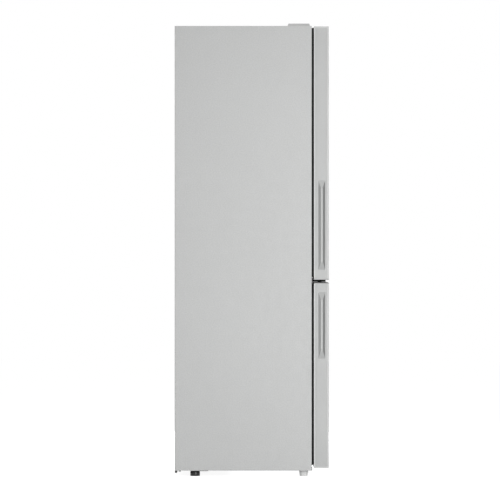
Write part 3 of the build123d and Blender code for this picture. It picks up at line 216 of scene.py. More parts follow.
# Stretches of a texture's range over which a colour or a value goes from its one end to the other
SPAN = (0.3, 0.7)
SILVER_SPAN = (0.34, 0.66)
CELL_SPAN = (0.25, 0.75)
COPPER_SPAN = (0.3, 0.55, 0.75)

# How far the roughness of the paint and of moulded plastic strays from its given value
PAINT_SPREAD = 0.07
PLASTIC_SPREAD = (-0.06, 0.08)

# Stretch of a texture along the axes: none, and drawn out upwards by a little, more and most
EVEN = (1.0, 1.0, 1.0)
FLOW = (1.0, 1.0, 0.25)
DRAWN = (1.0, 1.0, 0.1)
ROLLED = (1.0, 1.0, 0.04)

# Pitch of the ribs in a wave texture of scale one
WAVE_PITCH = math.pi / 10.0

# Places of the sockets in a colour mix node, which share their names with its other types
MIX_SHARE = 0
MIX_COLOURS = (6, 7)
MIX_RESULT = 2

# Colours of the finishes, each from the dark to the light end of its grain
PAINT_SILVER = ((0.510, 0.516, 0.513), (0.602, 0.608, 0.604))
PLASTIC_SILVER = ((0.530, 0.536, 0.533), (0.620, 0.626, 0.622))
PROFILE_SILVER = ((0.480, 0.486, 0.483), (0.565, 0.571, 0.567))
ZINC_GREY = ((0.36, 0.37, 0.38), (0.44, 0.45, 0.46))
ENAMEL_BLACK = ((0.011, 0.011, 0.012), (0.021, 0.021, 0.022))
FOAM_CREAM = ((0.64, 0.55, 0.36), (0.80, 0.72, 0.52))
LINER_WHITE = ((0.79, 0.805, 0.81), (0.83, 0.84, 0.85))
TRIM_WHITE = ((0.805, 0.82, 0.83), (0.84, 0.855, 0.865))
GASKET_BLACK = ((0.016, 0.016, 0.017), (0.030, 0.030, 0.032))
RUBBER_BLACK = ((0.010, 0.010, 0.010), (0.022, 0.022, 0.022))
# Black rubber of the hinge boot, made extra black as painted shade at the far end of the gap between the
# doors
BOOT_BLACK_AND_GAP_SHADE = ((0.004, 0.004, 0.004), (0.008, 0.008, 0.008))
PLASTIC_BLACK = ((0.012, 0.012, 0.012), (0.024, 0.024, 0.024))
PLASTIC_GREY = ((0.80, 0.805, 0.80), (0.88, 0.885, 0.88))
FOOT_BLACK = ((0.005, 0.005, 0.005), (0.011, 0.011, 0.011))
TOUCH_BLACK = ((0.006, 0.006, 0.007), (0.012, 0.012, 0.013))
MARK_WHITE = ((0.70, 0.74, 0.76), (0.80, 0.83, 0.85))
COPPER_BROWN = ((0.30, 0.13, 0.07), (0.66, 0.32, 0.19), (0.76, 0.42, 0.27))
FIN_SILVER = ((0.66, 0.67, 0.68), (0.80, 0.81, 0.82))
PLATING_GREY = ((0.46, 0.45, 0.42), (0.60, 0.60, 0.60))

# Even colours, of clear materials and of parts of a surface
GLASS_GREEN = (0.84, 0.95, 0.91, 1.0)
TUB_BLUE = (0.86, 0.92, 0.95, 1.0)
LENS_WHITE = (0.95, 0.95, 0.92, 1.0)
# Painted shade for the long walls of the finger recess
RECESS_SHADE = (0.430, 0.435, 0.432)
# Painted highlight on the rear edge of the grip profile
HIGHLIGHT_SILVER = (0.690, 0.696, 0.692)
# Painted shade for the faces of the gap between the doors
GAP_SHADE = (0.006, 0.006, 0.006)
BOLT_BLACK = (0.020, 0.020, 0.021)

# Floor and world, with what the floor shows beside the light that falls on it, and the light of the sky
FLOOR_SIZE = 40.0
FLOOR_COLOUR = (0.60, 0.60, 0.60, 1.0)
FLOOR_LIFT = 0.91
SKY_LIGHT = 0.15
WHITE = (1.0, 1.0, 1.0, 1.0)

# Lamps: place, the point that they face, width and height, and power in watts
LAMPS = {
    "key": ((-4.5, -1.15, 0.96), (-0.3, -0.10, 0.92), (0.9, 1.9), 118.0),
    "front": ((2.4, -4.1, 1.3), (0.0, -0.3, 0.93), (2.2, 2.4), 124.0),
    "fill": ((4.5, 0.0, 1.3), (0.3, 0.0, 0.93), (2.2, 2.4), 84.0),
    "top": ((0.3, 0.3, 4.6), (0.0, 0.0, 1.85), (1.2, 1.2), 28.0),
    "back": ((0.4, 4.4, 1.9), (0.0, 0.0, 0.9), (3.2, 3.0), 42.0),
}

# Camera: picture width, metres per pixel on the cabinet's near side, and the pixel of the part's middle
FRAME_PIXELS = 500
PIXEL = 0.004085
CENTRE_PIXEL = (251.8, 249.9)
CAMERA_DISTANCE = 20.0
SENSOR = 36.0


class Finish:
    """A procedural material: one shader and the textures that feed it, in metres of the part."""

    def __init__(self, name, uniform):
        self.material = bpy.data.materials.new(name)
        self.material.use_nodes = True
        self.tree = self.material.node_tree
        self.shader = self.tree.nodes["Principled BSDF"]
        coordinates = self.tree.nodes.new("ShaderNodeTexCoord")
        self.place = coordinates.outputs["Object"]
        self.normal = coordinates.outputs["Normal"]
        self.relief = None
        for socket, value in uniform.items():
            self.shader.inputs[socket].default_value = value

    def link(self, source, target):
        """Joins two sockets."""
        self.tree.links.new(source, target)

    def scaled(self, stretch):
        """The place on the part, with each axis drawn out or in."""
        scaling = self.tree.nodes.new("ShaderNodeVectorMath")
        scaling.operation = "MULTIPLY"
        scaling.inputs[1].default_value = stretch
        self.link(self.place, scaling.inputs[0])
        return scaling.outputs["Vector"]

    def noise(self, size, detail=2.0, stretch=EVEN):
        """Noise with a grain of about that size."""
        grain = self.tree.nodes.new("ShaderNodeTexNoise")
        grain.inputs["Scale"].default_value = 1.0 / size
        grain.inputs["Detail"].default_value = detail
        self.link(self.scaled(stretch), grain.inputs["Vector"])
        return grain.outputs[0]

    def cells(self, size):
        """Voronoi cells of about that size: their distance field and their random colour."""
        pattern = self.tree.nodes.new("ShaderNodeTexVoronoi")
        pattern.inputs["Scale"].default_value = 1.0 / size
        self.link(self.place, pattern.inputs["Vector"])
        return pattern.outputs["Distance"], pattern.outputs["Color"]

    def bands(self, pitch, axis):
        """Even ribs of that pitch along an axis."""
        pattern = self.tree.nodes.new("ShaderNodeTexWave")
        pattern.bands_direction = axis
        pattern.inputs["Scale"].default_value = WAVE_PITCH / pitch
        self.link(self.place, pattern.inputs["Vector"])
        return pattern.outputs["Fac"]

    def mixed(self, first, second, share):
        """Two textures in one, with that share of the second."""
        mix = self.tree.nodes.new("ShaderNodeMix")
        mix.inputs["Factor"].default_value = share
        self.link(first, mix.inputs["A"])
        self.link(second, mix.inputs["B"])
        return mix.outputs["Result"]

    def remapped(self, value, span, low=0.0, high=1.0):
        """A value that goes from low to high while another goes over a span."""
        remap = self.tree.nodes.new("ShaderNodeMapRange")
        remap.inputs["From Min"].default_value, remap.inputs["From Max"].default_value = span
        remap.inputs["To Min"].default_value = low
        remap.inputs["To Max"].default_value = high
        self.link(value, remap.inputs["Value"])
        return remap.outputs["Result"]

    def share(self, vector, axis, span):
        """Zero where a vector's length along an axis starts a span, and one where it ends it."""
        parts = self.tree.nodes.new("ShaderNodeSeparateXYZ")
        self.link(vector, parts.inputs["Vector"])
        return self.remapped(parts.outputs[axis], span)

    def along(self, axis, span):
        """Zero on one side of a span of places on an axis and one on the other."""
        return self.share(self.place, axis, span)

    def facing(self, axis, span):
        """One where the surface faces along an axis, either way, and zero where it lies along it."""
        size = self.tree.nodes.new("ShaderNodeVectorMath")
        size.operation = "ABSOLUTE"
        self.link(self.normal, size.inputs[0])
        return self.share(size.outputs["Vector"], axis, span)

    def both(self, first, second):
        """The share in which two shares hold at once."""
        product = self.tree.nodes.new("ShaderNodeMath")
        product.operation = "MULTIPLY"
        self.link(first, product.inputs[0])
        self.link(second, product.inputs[1])
        return product.outputs["Value"]

    def colour(self, texture, shades, span=SPAN):
        """Colours the surface by a texture, through shades that lie at the places of a span."""
        ramp = self.tree.nodes.new("ShaderNodeValToRGB")
        stops = ramp.color_ramp.elements
        for place in span[len(stops):]:
            stops.new(place)
        for stop, place, shade in zip(stops, span, shades):
            stop.position = place
            stop.color = (*shade, 1.0)
        self.link(texture, ramp.inputs["Fac"])
        self.link(ramp.outputs["Color"], self.shader.inputs["Base Color"])
        return ramp.outputs["Color"]

    def part_colour(self, colour, share, other):
        """Changes the surface's colour to another where the share is one."""
        mix = self.tree.nodes.new("ShaderNodeMix")
        mix.data_type = "RGBA"
        mix.inputs[MIX_COLOURS[1]].default_value = (*other, 1.0)
        self.link(share, mix.inputs[MIX_SHARE])
        self.link(colour, mix.inputs[MIX_COLOURS[0]])
        self.link(mix.outputs[MIX_RESULT], self.shader.inputs["Base Color"])
        return mix.outputs[MIX_RESULT]

    def vary(self, socket, texture, low, high):
        """Lets a shader value follow a texture, between two ends."""
        self.link(self.remapped(texture, SPAN, low, high), self.shader.inputs[socket])

    def bump(self, texture, depth):
        """Raises the surface by a texture to that depth, on top of any relief it already has."""
        relief = self.tree.nodes.new("ShaderNodeBump")
        relief.inputs["Strength"].default_value = 1.0
        relief.inputs["Distance"].default_value = depth
        self.link(texture, relief.inputs["Height"])
        if self.relief:
            self.link(self.relief, relief.inputs["Normal"])
        self.relief = relief.outputs["Normal"]
        self.link(self.relief, self.shader.inputs["Normal"])


def silver_paint(name, metal, smooth, stucco, shading):
    """Silver coil coating: fine flakes in a satin film, on a stucco grain of that depth and shading."""
    look = Finish(name, {"Metallic": metal, "Coat Weight": 0.05, "Coat Roughness": 0.45})
    flakes = look.noise(size=0.0014, detail=3.0)
    clouds = look.noise(size=0.7, detail=1.0)
    grain = look.noise(size=0.0048)
    film = look.mixed(clouds, flakes, share=0.75)
    look.colour(look.mixed(film, grain, shading), PAINT_SILVER, SILVER_SPAN)
    look.vary("Roughness", look.noise(size=0.025), smooth, smooth + PAINT_SPREAD)
    look.bump(grain, stucco)
    look.bump(flakes, depth=0.00002)
    return look.material


def silver_grain(look, shades):
    """Gives a finish the colours, gloss and eroded grain of silver plastic, and returns the colour."""
    grain = look.noise(size=0.0009, detail=3.0)
    tone = look.mixed(look.noise(size=0.3, detail=1.0), grain, share=0.7)
    look.vary("Roughness", look.noise(size=0.012), low=0.48, high=0.56)
    look.bump(look.noise(size=0.0035), depth=0.00004)
    look.bump(grain, depth=0.00003)
    return look.colour(tone, shades, SILVER_SPAN)


def silver_plastic():
    """Silver moulded plastic."""
    look = Finish("silver_plastic", {"Metallic": 0.12, "Coat Weight": 0.05})
    silver_grain(look, PLASTIC_SILVER)
    return look.material


def grip_profile():
    """Silver plastic with a painted highlight, a paler strip on its rear edge, and painted shade on the
    long walls of the finger recess.
    """
    low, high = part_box("upper_door_grip")
    look = Finish("grip_profile", {"Metallic": 0.06, "Specular IOR Level": 0.35})
    silver = silver_grain(look, PROFILE_SILVER)
    # Painted shade: the recess's long walls get a darker colour
    inside = look.along("X", [low.x + depth for depth in RECESS_DEPTH])
    walls = look.both(inside, look.facing("Y", RECESS_FACING))
    shaded = look.part_colour(silver, walls, RECESS_SHADE)
    # Painted highlight: a paler strip along the rear edge
    strip = look.along("Y", [high.y - distance for distance in HIGHLIGHT_STRIP])
    look.part_colour(shaded, strip, HIGHLIGHT_SILVER)
    return look.material


def gap_cap(name, span):
    """Silver end cap with painted shade, a black strip on the face that closes the gap between the doors.
    """
    look = Finish(name, {"Specular IOR Level": 0.1})
    silver = silver_grain(look, PROFILE_SILVER)
    # Painted shade: a black strip on the face in the gap
    look.part_colour(silver, look.along("Z", span), GAP_SHADE)
    return look.material


def zinc_sheet():
    """Galvanised sheet with flat grey spangles."""
    look = Finish("zinc_sheet", {"Metallic": 0.85})
    distance, tone = look.cells(size=0.011)
    clouds = look.noise(size=0.30, detail=1.0)
    look.colour(look.mixed(tone, clouds, share=0.4), ZINC_GREY, CELL_SPAN)
    look.vary("Roughness", tone, low=0.46, high=0.58)
    look.bump(distance, depth=0.00003)
    return look.material


def black_paint(name, coat, peel):
    """Black stove enamel on sheet or pressed steel, with an orange peel of that size."""
    look = Finish(name, {"Coat Weight": coat, "Coat Roughness": 0.22})
    tone = look.mixed(look.noise(size=0.10, detail=3.0), look.noise(size=0.0015), share=0.4)
    look.colour(tone, ENAMEL_BLACK)
    look.vary("Roughness", look.noise(size=0.02, detail=3.0), low=0.34, high=0.50)
    look.bump(look.noise(peel), depth=0.00006)
    return look.material


def rigid_foam():
    """Cream foam with closed cells."""
    look = Finish("foam", {"Roughness": 0.9})
    distance, tone = look.cells(size=0.0022)
    look.colour(look.mixed(tone, look.noise(size=0.05), share=0.5), FOAM_CREAM, CELL_SPAN)
    look.bump(distance, depth=0.0004)
    return look.material


def white_liner():
    """Vacuum-formed white sheet, satin, with the soft ripple of the forming."""
    look = Finish("white_liner", {"Coat Weight": 0.1, "Coat Roughness": 0.2})
    tone = look.mixed(look.noise(size=0.25), look.noise(size=0.0016), share=0.35)
    look.colour(tone, LINER_WHITE)
    look.vary("Roughness", look.noise(size=0.015), low=0.30, high=0.40)
    look.bump(look.noise(size=0.004), depth=0.00005)
    return look.material


def soft_rubber(name, shades, bloom, shine=0.35):
    """Soft extruded or moulded rubber with a dusty bloom."""
    look = Finish(name, {"Sheen Weight": bloom, "Specular IOR Level": shine})
    tone = look.mixed(look.noise(size=0.03, detail=3.0), look.noise(size=0.0009), share=0.5)
    look.colour(tone, shades)
    look.vary("Roughness", look.noise(size=0.006, detail=3.0), low=0.55, high=0.72)
    look.bump(look.noise(size=0.0011), depth=0.00006)
    return look.material


def shelf_glass():
    """Clear toughened glass with a green cast and a few smears."""
    look = Finish("shelf_glass", {"Base Color": GLASS_GREEN, "Transmission Weight": 1.0, "IOR": 1.52})
    look.vary("Roughness", look.noise(size=0.06, detail=4.0), low=0.0, high=0.05)
    look.bump(look.noise(size=0.09, detail=1.0), depth=0.00003)
    return look.material


def white_trim():
    """White moulded plastic, a little glossier than the liner."""
    look = Finish("white_trim", {"Coat Weight": 0.15, "Coat Roughness": 0.15})
    tone = look.mixed(look.noise(size=0.08), look.noise(size=0.0008), share=0.4)
    look.colour(tone, TRIM_WHITE)
    look.vary("Roughness", look.noise(size=0.01), low=0.27, high=0.31)
    look.bump(look.noise(size=0.0012), depth=0.00002)
    return look.material


def clear_tub():
    """Clear moulded plastic with flow marks and a light frost."""
    look = Finish("clear_tub", {"Base Color": TUB_BLUE, "Transmission Weight": 0.9, "IOR": 1.49})
    look.vary("Roughness", look.noise(size=0.04, detail=4.0), low=0.10, high=0.24)
    look.bump(look.noise(size=0.03, stretch=FLOW), depth=0.0002)
    return look.material


def moulded_plastic(name, shades, rough):
    """Plain moulded plastic with an eroded grain."""
    look = Finish(name, {"Specular IOR Level": 0.4})
    grain = look.noise(size=0.0008, detail=3.0)
    look.colour(look.mixed(look.noise(size=0.02, detail=3.0), grain, share=0.5), shades)
    look.vary("Roughness", look.noise(size=0.005), *(rough + spread for spread in PLASTIC_SPREAD))
    look.bump(grain, depth=0.00005)
    return look.material


def copper_tube():
    """Drawn copper, browned in patches."""
    look = Finish("copper", {"Metallic": 1.0})
    look.colour(look.noise(size=0.018, detail=4.0), COPPER_BROWN, COPPER_SPAN)
    look.vary("Roughness", look.noise(size=0.012, detail=3.0), low=0.24, high=0.46)
    look.bump(look.noise(size=0.002, stretch=DRAWN), depth=0.00003)
    return look.material


def fin_metal():
    """Rolled aluminium sheet."""
    look = Finish("fin_metal", {"Metallic": 1.0})
    streaks = look.noise(size=0.0015, detail=3.0, stretch=ROLLED)
    look.colour(streaks, FIN_SILVER)
    look.vary("Roughness", streaks, low=0.30, high=0.44)
    return look.material


def hinge_steel():
    """Zinc-plated steel with a faint yellow passivation, blackened on the bolts under the base."""
    look = Finish("hinge_steel", {"Metallic": 1.0})
    plating = look.colour(look.noise(size=0.012, detail=4.0), PLATING_GREY)
    look.part_colour(plating, look.along("Z", BLACK_BOLTS), BOLT_BLACK)
    look.vary("Roughness", look.noise(size=0.004, detail=3.0), low=0.30, high=0.46)
    look.bump(look.noise(size=0.0016), depth=0.00003)
    return look.material


def lamp_lens():
    """Frosted lamp cover with fine prisms."""
    look = Finish("lamp_lens", {"Base Color": LENS_WHITE, "Transmission Weight": 0.7, "IOR": 1.58})
    look.vary("Roughness", look.noise(size=0.01), low=0.28, high=0.42)
    look.bump(look.bands(pitch=0.003, axis="X"), depth=0.0004)
    return look.material


# The finish of each slot
finishes = {
    "silver_paint": silver_paint("panel_paint", metal=0.08, smooth=0.54, stucco=0.00030, shading=0.48),
    "silver_plastic": silver_plastic(),
    "zinc_sheet": zinc_sheet(),
    "black_sheet": black_paint("black_sheet", coat=0.1, peel=0.0030),
    "foam": rigid_foam(),
    "white_liner": white_liner(),
    "gasket": soft_rubber("gasket", GASKET_BLACK, bloom=0.05),
    "shelf_glass": shelf_glass(),
    "white_trim": white_trim(),
    "clear_tub": clear_tub(),
    "black_plastic": moulded_plastic("black_plastic", PLASTIC_BLACK, rough=0.42),
    "grey_plastic": moulded_plastic("grey_plastic", PLASTIC_GREY, rough=0.45),
    "black_rubber": soft_rubber("black_rubber", RUBBER_BLACK, bloom=0.15),
    "compressor_paint": black_paint("compressor_paint", coat=0.35, peel=0.0045),
    "copper": copper_tube(),
    "fin_metal": fin_metal(),
    "hinge_steel": hinge_steel(),
    "lamp_lens": lamp_lens(),
}

# Finishes of pieces that differ from their slot
touch_glass = moulded_plastic("touch_glass", TOUCH_BLACK, rough=0.16)
mark_print = moulded_plastic("mark_print", MARK_WHITE, rough=0.40)
foot_plastic = moulded_plastic("foot_plastic", FOOT_BLACK, rough=0.24)
# Black boot rubber, made extra black as painted shade at the far end of the gap between the doors
boot_rubber_and_gap_shade = soft_rubber("boot_rubber_and_gap_shade", BOOT_BLACK_AND_GAP_SHADE, bloom=0.0, shine=0.1)


def dress(node, material):
    """Gives a node a finish in place of the one it was packed with."""
    materials = nodes[node].data.materials
    materials.clear()
    materials.append(material)


for subpart in frame["record"]["subparts"]:
    dress(subpart["node"], finishes[subpart["material_slot"]])

# Nodes that differ from the rest of their slot
door_paint = silver_paint("door_paint", metal=0.11, smooth=0.50, stucco=0.00002, shading=0.0)
grip_finish = grip_profile()
for door in DOORS:
    dress(f"{door}_skin", door_paint)
    dress(f"{door}_grip", grip_finish)
gap_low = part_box("lower_door_top_cap")[1].z
gap_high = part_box("upper_door_bottom_cap")[0].z
# The caps in the gap between the doors get painted shade on their gap faces
dress("lower_door_top_cap", gap_cap("lower_gap_cap", (gap_low - GAP_EDGE, gap_low - GAP_FACE)))
dress("upper_door_bottom_cap", gap_cap("upper_gap_cap", (gap_high + GAP_EDGE, gap_high + GAP_FACE)))


def quarter_turn(first=0):
    """Angles of a quarter of a turn, after a number of whole quarters."""
    return [math.radians(90.0 * (first + step / ROUND_STEPS)) for step in range(ROUND_STEPS + 1)]


def circle(centre, first, second, radius, sides):
    """Ring of points in the plane of two directions."""
    turns = [math.tau * side / sides for side in range(sides)]
    return [centre + radius * (math.cos(turn) * first + math.sin(turn) * second) for turn in turns]


def rounded_outline(half_first, half_second, corner):
    """Outline of a rounded rectangle round zero, as pairs of lengths."""
    points = []
    for quarter, (way_first, way_second) in enumerate(((1, 1), (-1, 1), (-1, -1), (1, -1))):
        for turn in quarter_turn(quarter):
            points.append((
                way_first * (half_first - corner) + corner * math.cos(turn),
                way_second * (half_second - corner) + corner * math.sin(turn),
            ))
    return points


def placed(points, centre, first, second):
    """Pairs of lengths as points in the plane of two directions."""
    return [centre + along * first + across * second for along, across in points]


def loft(work, rings, joined=False):
    """Faces through rings of points. The ends are closed, or joined to each other."""
    rows = [[work.verts.new(point) for point in ring] for ring in rings]
    pairs = list(zip(rows, rows[1:]))
    if joined:
        pairs.append((rows[-1], rows[0]))
    for row, following in pairs:
        for index in range(len(row)):
            beside = (index + 1) % len(row)
            work.faces.new((row[index], row[beside], following[beside], following[index]))
    if not joined:
        work.faces.new(list(reversed(rows[0])))
        work.faces.new(rows[-1])


def plate(work, ring, shift):
    """Flat plate between a ring of points and its shifted copy."""
    loft(work, [ring, [point + shift for point in ring]])


def turned(work, x, y, levels, sides):
    """Upright turned part, from pairs of height and radius."""
    loft(work, [circle(Vector((x, y, z)), X_AXIS, Y_AXIS, radius, sides) for z, radius in levels])


def tube(work, path, side, radius):
    """Round bar along a path of points that lies in the plane square to side."""
    rings = []
    for index, point in enumerate(path):
        before = path[max(index - 1, 0)]
        after = path[min(index + 1, len(path) - 1)]
        outward = (after - before).normalized().cross(side)
        rings.append(circle(point, outward, side, radius, TUBE_SIDES))
    loft(work, rings)


def bend(corner, start, end, radius):
    """Points of a round bend at a corner, between the directions that come from start and go to end."""
    to_start = (start - corner).normalized()
    to_end = (end - corner).normalized()
    middle = corner + radius * (to_start + to_end)
    turns = quarter_turn()
    return [middle - radius * (math.cos(turn) * to_end + math.sin(turn) * to_start) for turn in turns]


def piece(name, work, body, slot, material=None):
    """Turns a working mesh into a piece that rides on a body, in its slot's finish or one of its own."""
    bmesh.ops.recalc_face_normals(work, faces=work.faces)
    mesh = bpy.data.meshes.new(name)
    work.to_mesh(mesh)
    work.free()
    mesh.shade_smooth()
    mesh.set_sharp_from_angle(angle=math.radians(SHARP_ANGLE))
    mesh.materials.append(material or finishes[slot])
    made = bpy.data.objects.new(name, mesh)
    bpy.context.scene.collection.objects.link(made)
    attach(made, body)
    return made


def door_seal(door):
    """Bellows seal with a magnet pocket, swept round a door's back and welded at its four corners."""
    low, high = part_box(f"{door}_gasket")
    middle = (low + high) / 2
    half_x = (high.x - low.x) / 2 - SEAL_HALF
    half_z = (high.z - low.z) / 2 - SEAL_HALF
    mirrored = [(-outward, away) for outward, away in reversed(SEAL_BELLOWS)]
    section = [*SEAL_BELLOWS, *SEAL_POCKET, *mirrored]
    rings = []
    for way_x, way_z, come, go in SEAL_CORNERS:
        for shift, share in ((-WELD_LENGTH * come, 1.0), (Vector(), WELD_SINK), (WELD_LENGTH * go, 1.0)):
            ring = []
            for outward, away in section:
                reach = SEAL_HALF * outward * share
                depth = SEAL_HALF * (SEAL_MIDDLE + (away - SEAL_MIDDLE) * share if away > 0 else 0.0)
                x = middle.x + way_x * (half_x + reach)
                z = middle.z + way_z * (half_z + reach)
                ring.append(Vector((x, low.y + depth, z)) + shift)
            rings.append(ring)
    work = bmesh.new()
    loft(work, rings, joined=True)
    seal = piece(f"{door}_bellows_seal", work, door, "gasket")
    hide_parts(f"{door}_gasket")


def compressor():
    """Welded compressor shell with a domed top, a rolled flange and two pressed feet."""
    low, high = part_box("compressor_shell")
    middle = (low + high) / 2
    bottom = high.z - SHELL_HEIGHT
    seam = bottom + LOWER_SHELL
    levels = []
    for turn in quarter_turn():
        inset = BOTTOM_INSET * (1 - math.sin(turn))
        levels.append((inset, bottom + BOTTOM_ROUND * (1 - math.cos(turn))))
    for inset, rise in FLANGE_SECTION:
        levels.append((inset * FLANGE_REACH, seam + rise * FLANGE_HALF))
    for turn in quarter_turn():
        inset = DOME_INSET * (1 - math.cos(turn))
        levels.append((inset, high.z - DOME_ROUND * (1 - math.sin(turn))))
    rings = []
    for inset, height in levels:
        outline = rounded_outline(SHELL_LENGTH / 2 - inset, SHELL_WIDTH / 2 - inset, SHELL_CORNER - inset)
        rings.append(placed(outline, Vector((middle.x, middle.y, height)), X_AXIS, Y_AXIS))
    work = bmesh.new()
    loft(work, rings)
    strap = rounded_outline(STRAP_WIDTH / 2, (high.y - low.y) / 2, STRAP_CORNER)
    for way in (-1, 1):
        foot = Vector((middle.x + way * (SHELL_LENGTH - STRAP_WIDTH) / 2, middle.y, low.z))
        plate(work, placed(strap, foot, X_AXIS, Y_AXIS), STRAP_HEIGHT * Z_AXIS)
    shell = piece("compressor_body", work, "cabinet", "compressor_paint")
    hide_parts("compressor_shell")


def grommets():
    """Waisted rubber mounts under the compressor's feet."""
    low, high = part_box("compressor_grommets")
    height = high.z - low.z
    levels = [(low.z + rise * height, share * GROMMET_RADIUS) for rise, share in GROMMET_PROFILE]
    work = bmesh.new()
    for x in (low.x + GROMMET_RADIUS, high.x - GROMMET_RADIUS):
        for y in (low.y + GROMMET_RADIUS, high.y - GROMMET_RADIUS):
            turned(work, x, y, levels, TUBE_SIDES)
    mounts = piece("rubber_mounts", work, "cabinet", "black_rubber")
    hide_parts("compressor_grommets")


def pipes():
    """Suction and discharge pipes, bent up to the niche's roof, with the filter drier on the second."""
    low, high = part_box("refrigerant_pipes")
    run_z = low.z + PIPE_RADIUS
    work = bmesh.new()
    for y, reach in ((low.y + PIPE_RADIUS, PIPE_REACH), (high.y - DRIER_RADIUS, 2 * PIPE_REACH)):
        start = Vector((high.x, y, run_z))
        corner = Vector((high.x - reach, y, run_z))
        end = Vector((corner.x, y, high.z))
        tube(work, [start, *bend(corner, start, end, PIPE_BEND), end], Y_AXIS, PIPE_RADIUS)
    drier_low = (run_z + high.z - DRIER_LENGTH) / 2
    drier_high = drier_low + DRIER_LENGTH
    levels = (
        (drier_low, PIPE_RADIUS * DRIER_COVER),
        (drier_low + DRIER_NECK, DRIER_RADIUS * DRIER_COVER),
        (drier_high - DRIER_NECK, DRIER_RADIUS * DRIER_COVER),
        (drier_high, PIPE_RADIUS * DRIER_COVER),
    )
    turned(work, corner.x, y, levels, TUBE_SIDES)
    run = piece("copper_pipes", work, "cabinet", "copper")
    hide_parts("refrigerant_pipes")


def levelling_foot(side):
    """Fluted foot with a plain collar, on its threaded stud."""
    node = f"front_foot_{side}"
    low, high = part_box(node)
    middle = (low + high) / 2
    sides = FOOT_FLUTES * FLUTE_STEPS
    rings = []
    for height, radius, fluted in FOOT_PROFILE:
        ring = []
        for step in range(sides):
            turn = math.tau * step / sides
            reach = radius - FLUTE_DEPTH * fluted * (1.0 - abs(math.sin(FOOT_FLUTES * turn / 2.0)))
            x = middle.x + reach * math.cos(turn)
            y = middle.y + reach * math.sin(turn)
            ring.append(Vector((x, y, low.z + height)))
        rings.append(ring)
    rings.append([Vector((point.x, point.y, high.z)) for point in rings[-1]])
    work = bmesh.new()
    loft(work, rings)
    foot = piece(f"levelling_foot_{side}", work, f"foot_{side}", "grey_plastic")
    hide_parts(node)


def rear_feet():
    """Two turned feet with a rounded sole and a shoulder at the base plate."""
    low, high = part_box("rear_feet")
    levels = [(low.z + height, share * REAR_FOOT_RADIUS) for height, share in REAR_FOOT_PROFILE]
    work = bmesh.new()
    for x in (low.x + REAR_FOOT_RADIUS, high.x - REAR_FOOT_RADIUS):
        turned(work, x, (low.y + high.y) / 2, levels, TURNED_SIDES)
    feet = piece("turned_rear_feet", work, "cabinet", "black_plastic", foot_plastic)
    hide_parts("rear_feet")


def hinge_shroud():
    """Soft boot round the arm of the middle hinge, which closes the end of the gap between the doors."""
    low, high = cad_box
    x = high.x - SHROUD_SIDE - SHROUD_HALF_X
    y = low.y + SHROUD_FRONT + SHROUD_HALF_Y
    centre = Vector((x, y, (gap_low + gap_high) / 2))
    half = (gap_high - gap_low) / 2 - SHROUD_GAP
    straight = half - SHROUD_ROUND
    rings = []
    for rise, inset in ((-half, SHROUD_ROUND), (-straight, 0.0), (straight, 0.0), (half, SHROUD_ROUND)):
        outline = rounded_outline(SHROUD_HALF_X - inset, SHROUD_HALF_Y - inset, SHROUD_CORNER - inset)
        rings.append(placed(outline, centre + rise * Z_AXIS, X_AXIS, Y_AXIS))
    work = bmesh.new()
    loft(work, rings)
    # The boot's extra-black rubber also serves as painted shade at the end of the gap
    piece("middle_hinge_shroud", work, "cabinet", "black_rubber", boot_rubber_and_gap_shade)


def bin_rim(number):
    """Rolled bead along the open edges of a door bin."""
    low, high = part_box(f"door_bin_{number}")
    inset = BIN_WALL / 2
    z = high.z - RIM_RADIUS / 2
    left, right = low.x + inset, high.x - inset
    front = high.y - inset
    ends = [Vector((left, low.y, z)), Vector((right, low.y, z))]
    corners = [Vector((left, front, z)), Vector((right, front, z))]
    path = [ends[0], *bend(corners[0], ends[0], corners[1], BIN_CORNER - inset)]
    path += [*bend(corners[1], corners[0], ends[1], BIN_CORNER - inset), ends[1]]
    work = bmesh.new()
    tube(work, path, Z_AXIS, RIM_RADIUS)
    piece(f"door_bin_rim_{number}", work, "upper_door", "clear_tub")


def touch_strip():
    """Dark touch strip with plain round marks, on the front of the control panel."""
    low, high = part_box("control_panel")
    face = Vector(((low.x + high.x) / 2, low.y, (low.z + high.z) / 2))
    outline = rounded_outline(TOUCH_HALF_X, TOUCH_HALF_Z, TOUCH_CORNER)
    work = bmesh.new()
    plate(work, placed(outline, face, X_AXIS, Z_AXIS), -TOUCH_DEPTH * Y_AXIS)
    piece("touch_strip", work, "cabinet", "black_plastic", touch_glass)
    work = bmesh.new()
    for index in range(MARK_COUNT):
        centre = face + X_AXIS * MARK_PITCH * (index - (MARK_COUNT - 1) / 2)
        plate(work, circle(centre, X_AXIS, Z_AXIS, MARK_RADIUS, TUBE_SIDES), -MARK_DEPTH * Y_AXIS)
    piece("touch_marks", work, "cabinet", "white_trim", mark_print)


for door in DOORS:
    door_seal(door)
compressor()
grommets()
pipes()
for side in FRONT_FEET:
    levelling_foot(side)
rear_feet()
hinge_shroud()
for number in range(1, BIN_COUNT + 1):
    bin_rim(number)
touch_strip()


def round_edges(node, width):
    """Joins a node's facets and rounds its sharp edges, by modifiers only."""
    joined = node.modifiers.new("joined", "WELD")
    joined.merge_threshold = JOIN_REACH
    rounded = node.modifiers.new("rounded", "BEVEL")
    rounded.width = width
    rounded.segments = EDGE_SEGMENTS
    rounded.limit_method = "ANGLE"
    rounded.angle_limit = math.radians(EDGE_ANGLE)
    rounded.loop_slide = False
    rounded.harden_normals = True


for width, names in EDGE_ROUND.items():
    for name in names:
        round_edges(nodes[name], width)


def seen_rays(tree):
    """One where a ray comes from the camera, or sees the background in or through a surface."""
    path = tree.nodes.new("ShaderNodeLightPath")
    seen = path.outputs["Is Camera Ray"]
    for kind in ("Is Glossy Ray", "Is Transmission Ray"):
        either = tree.nodes.new("ShaderNodeMath")
        either.operation = "MAXIMUM"
        tree.links.new(seen, either.inputs[0])
        tree.links.new(path.outputs[kind], either.inputs[1])
        seen = either.outputs["Value"]
    return seen


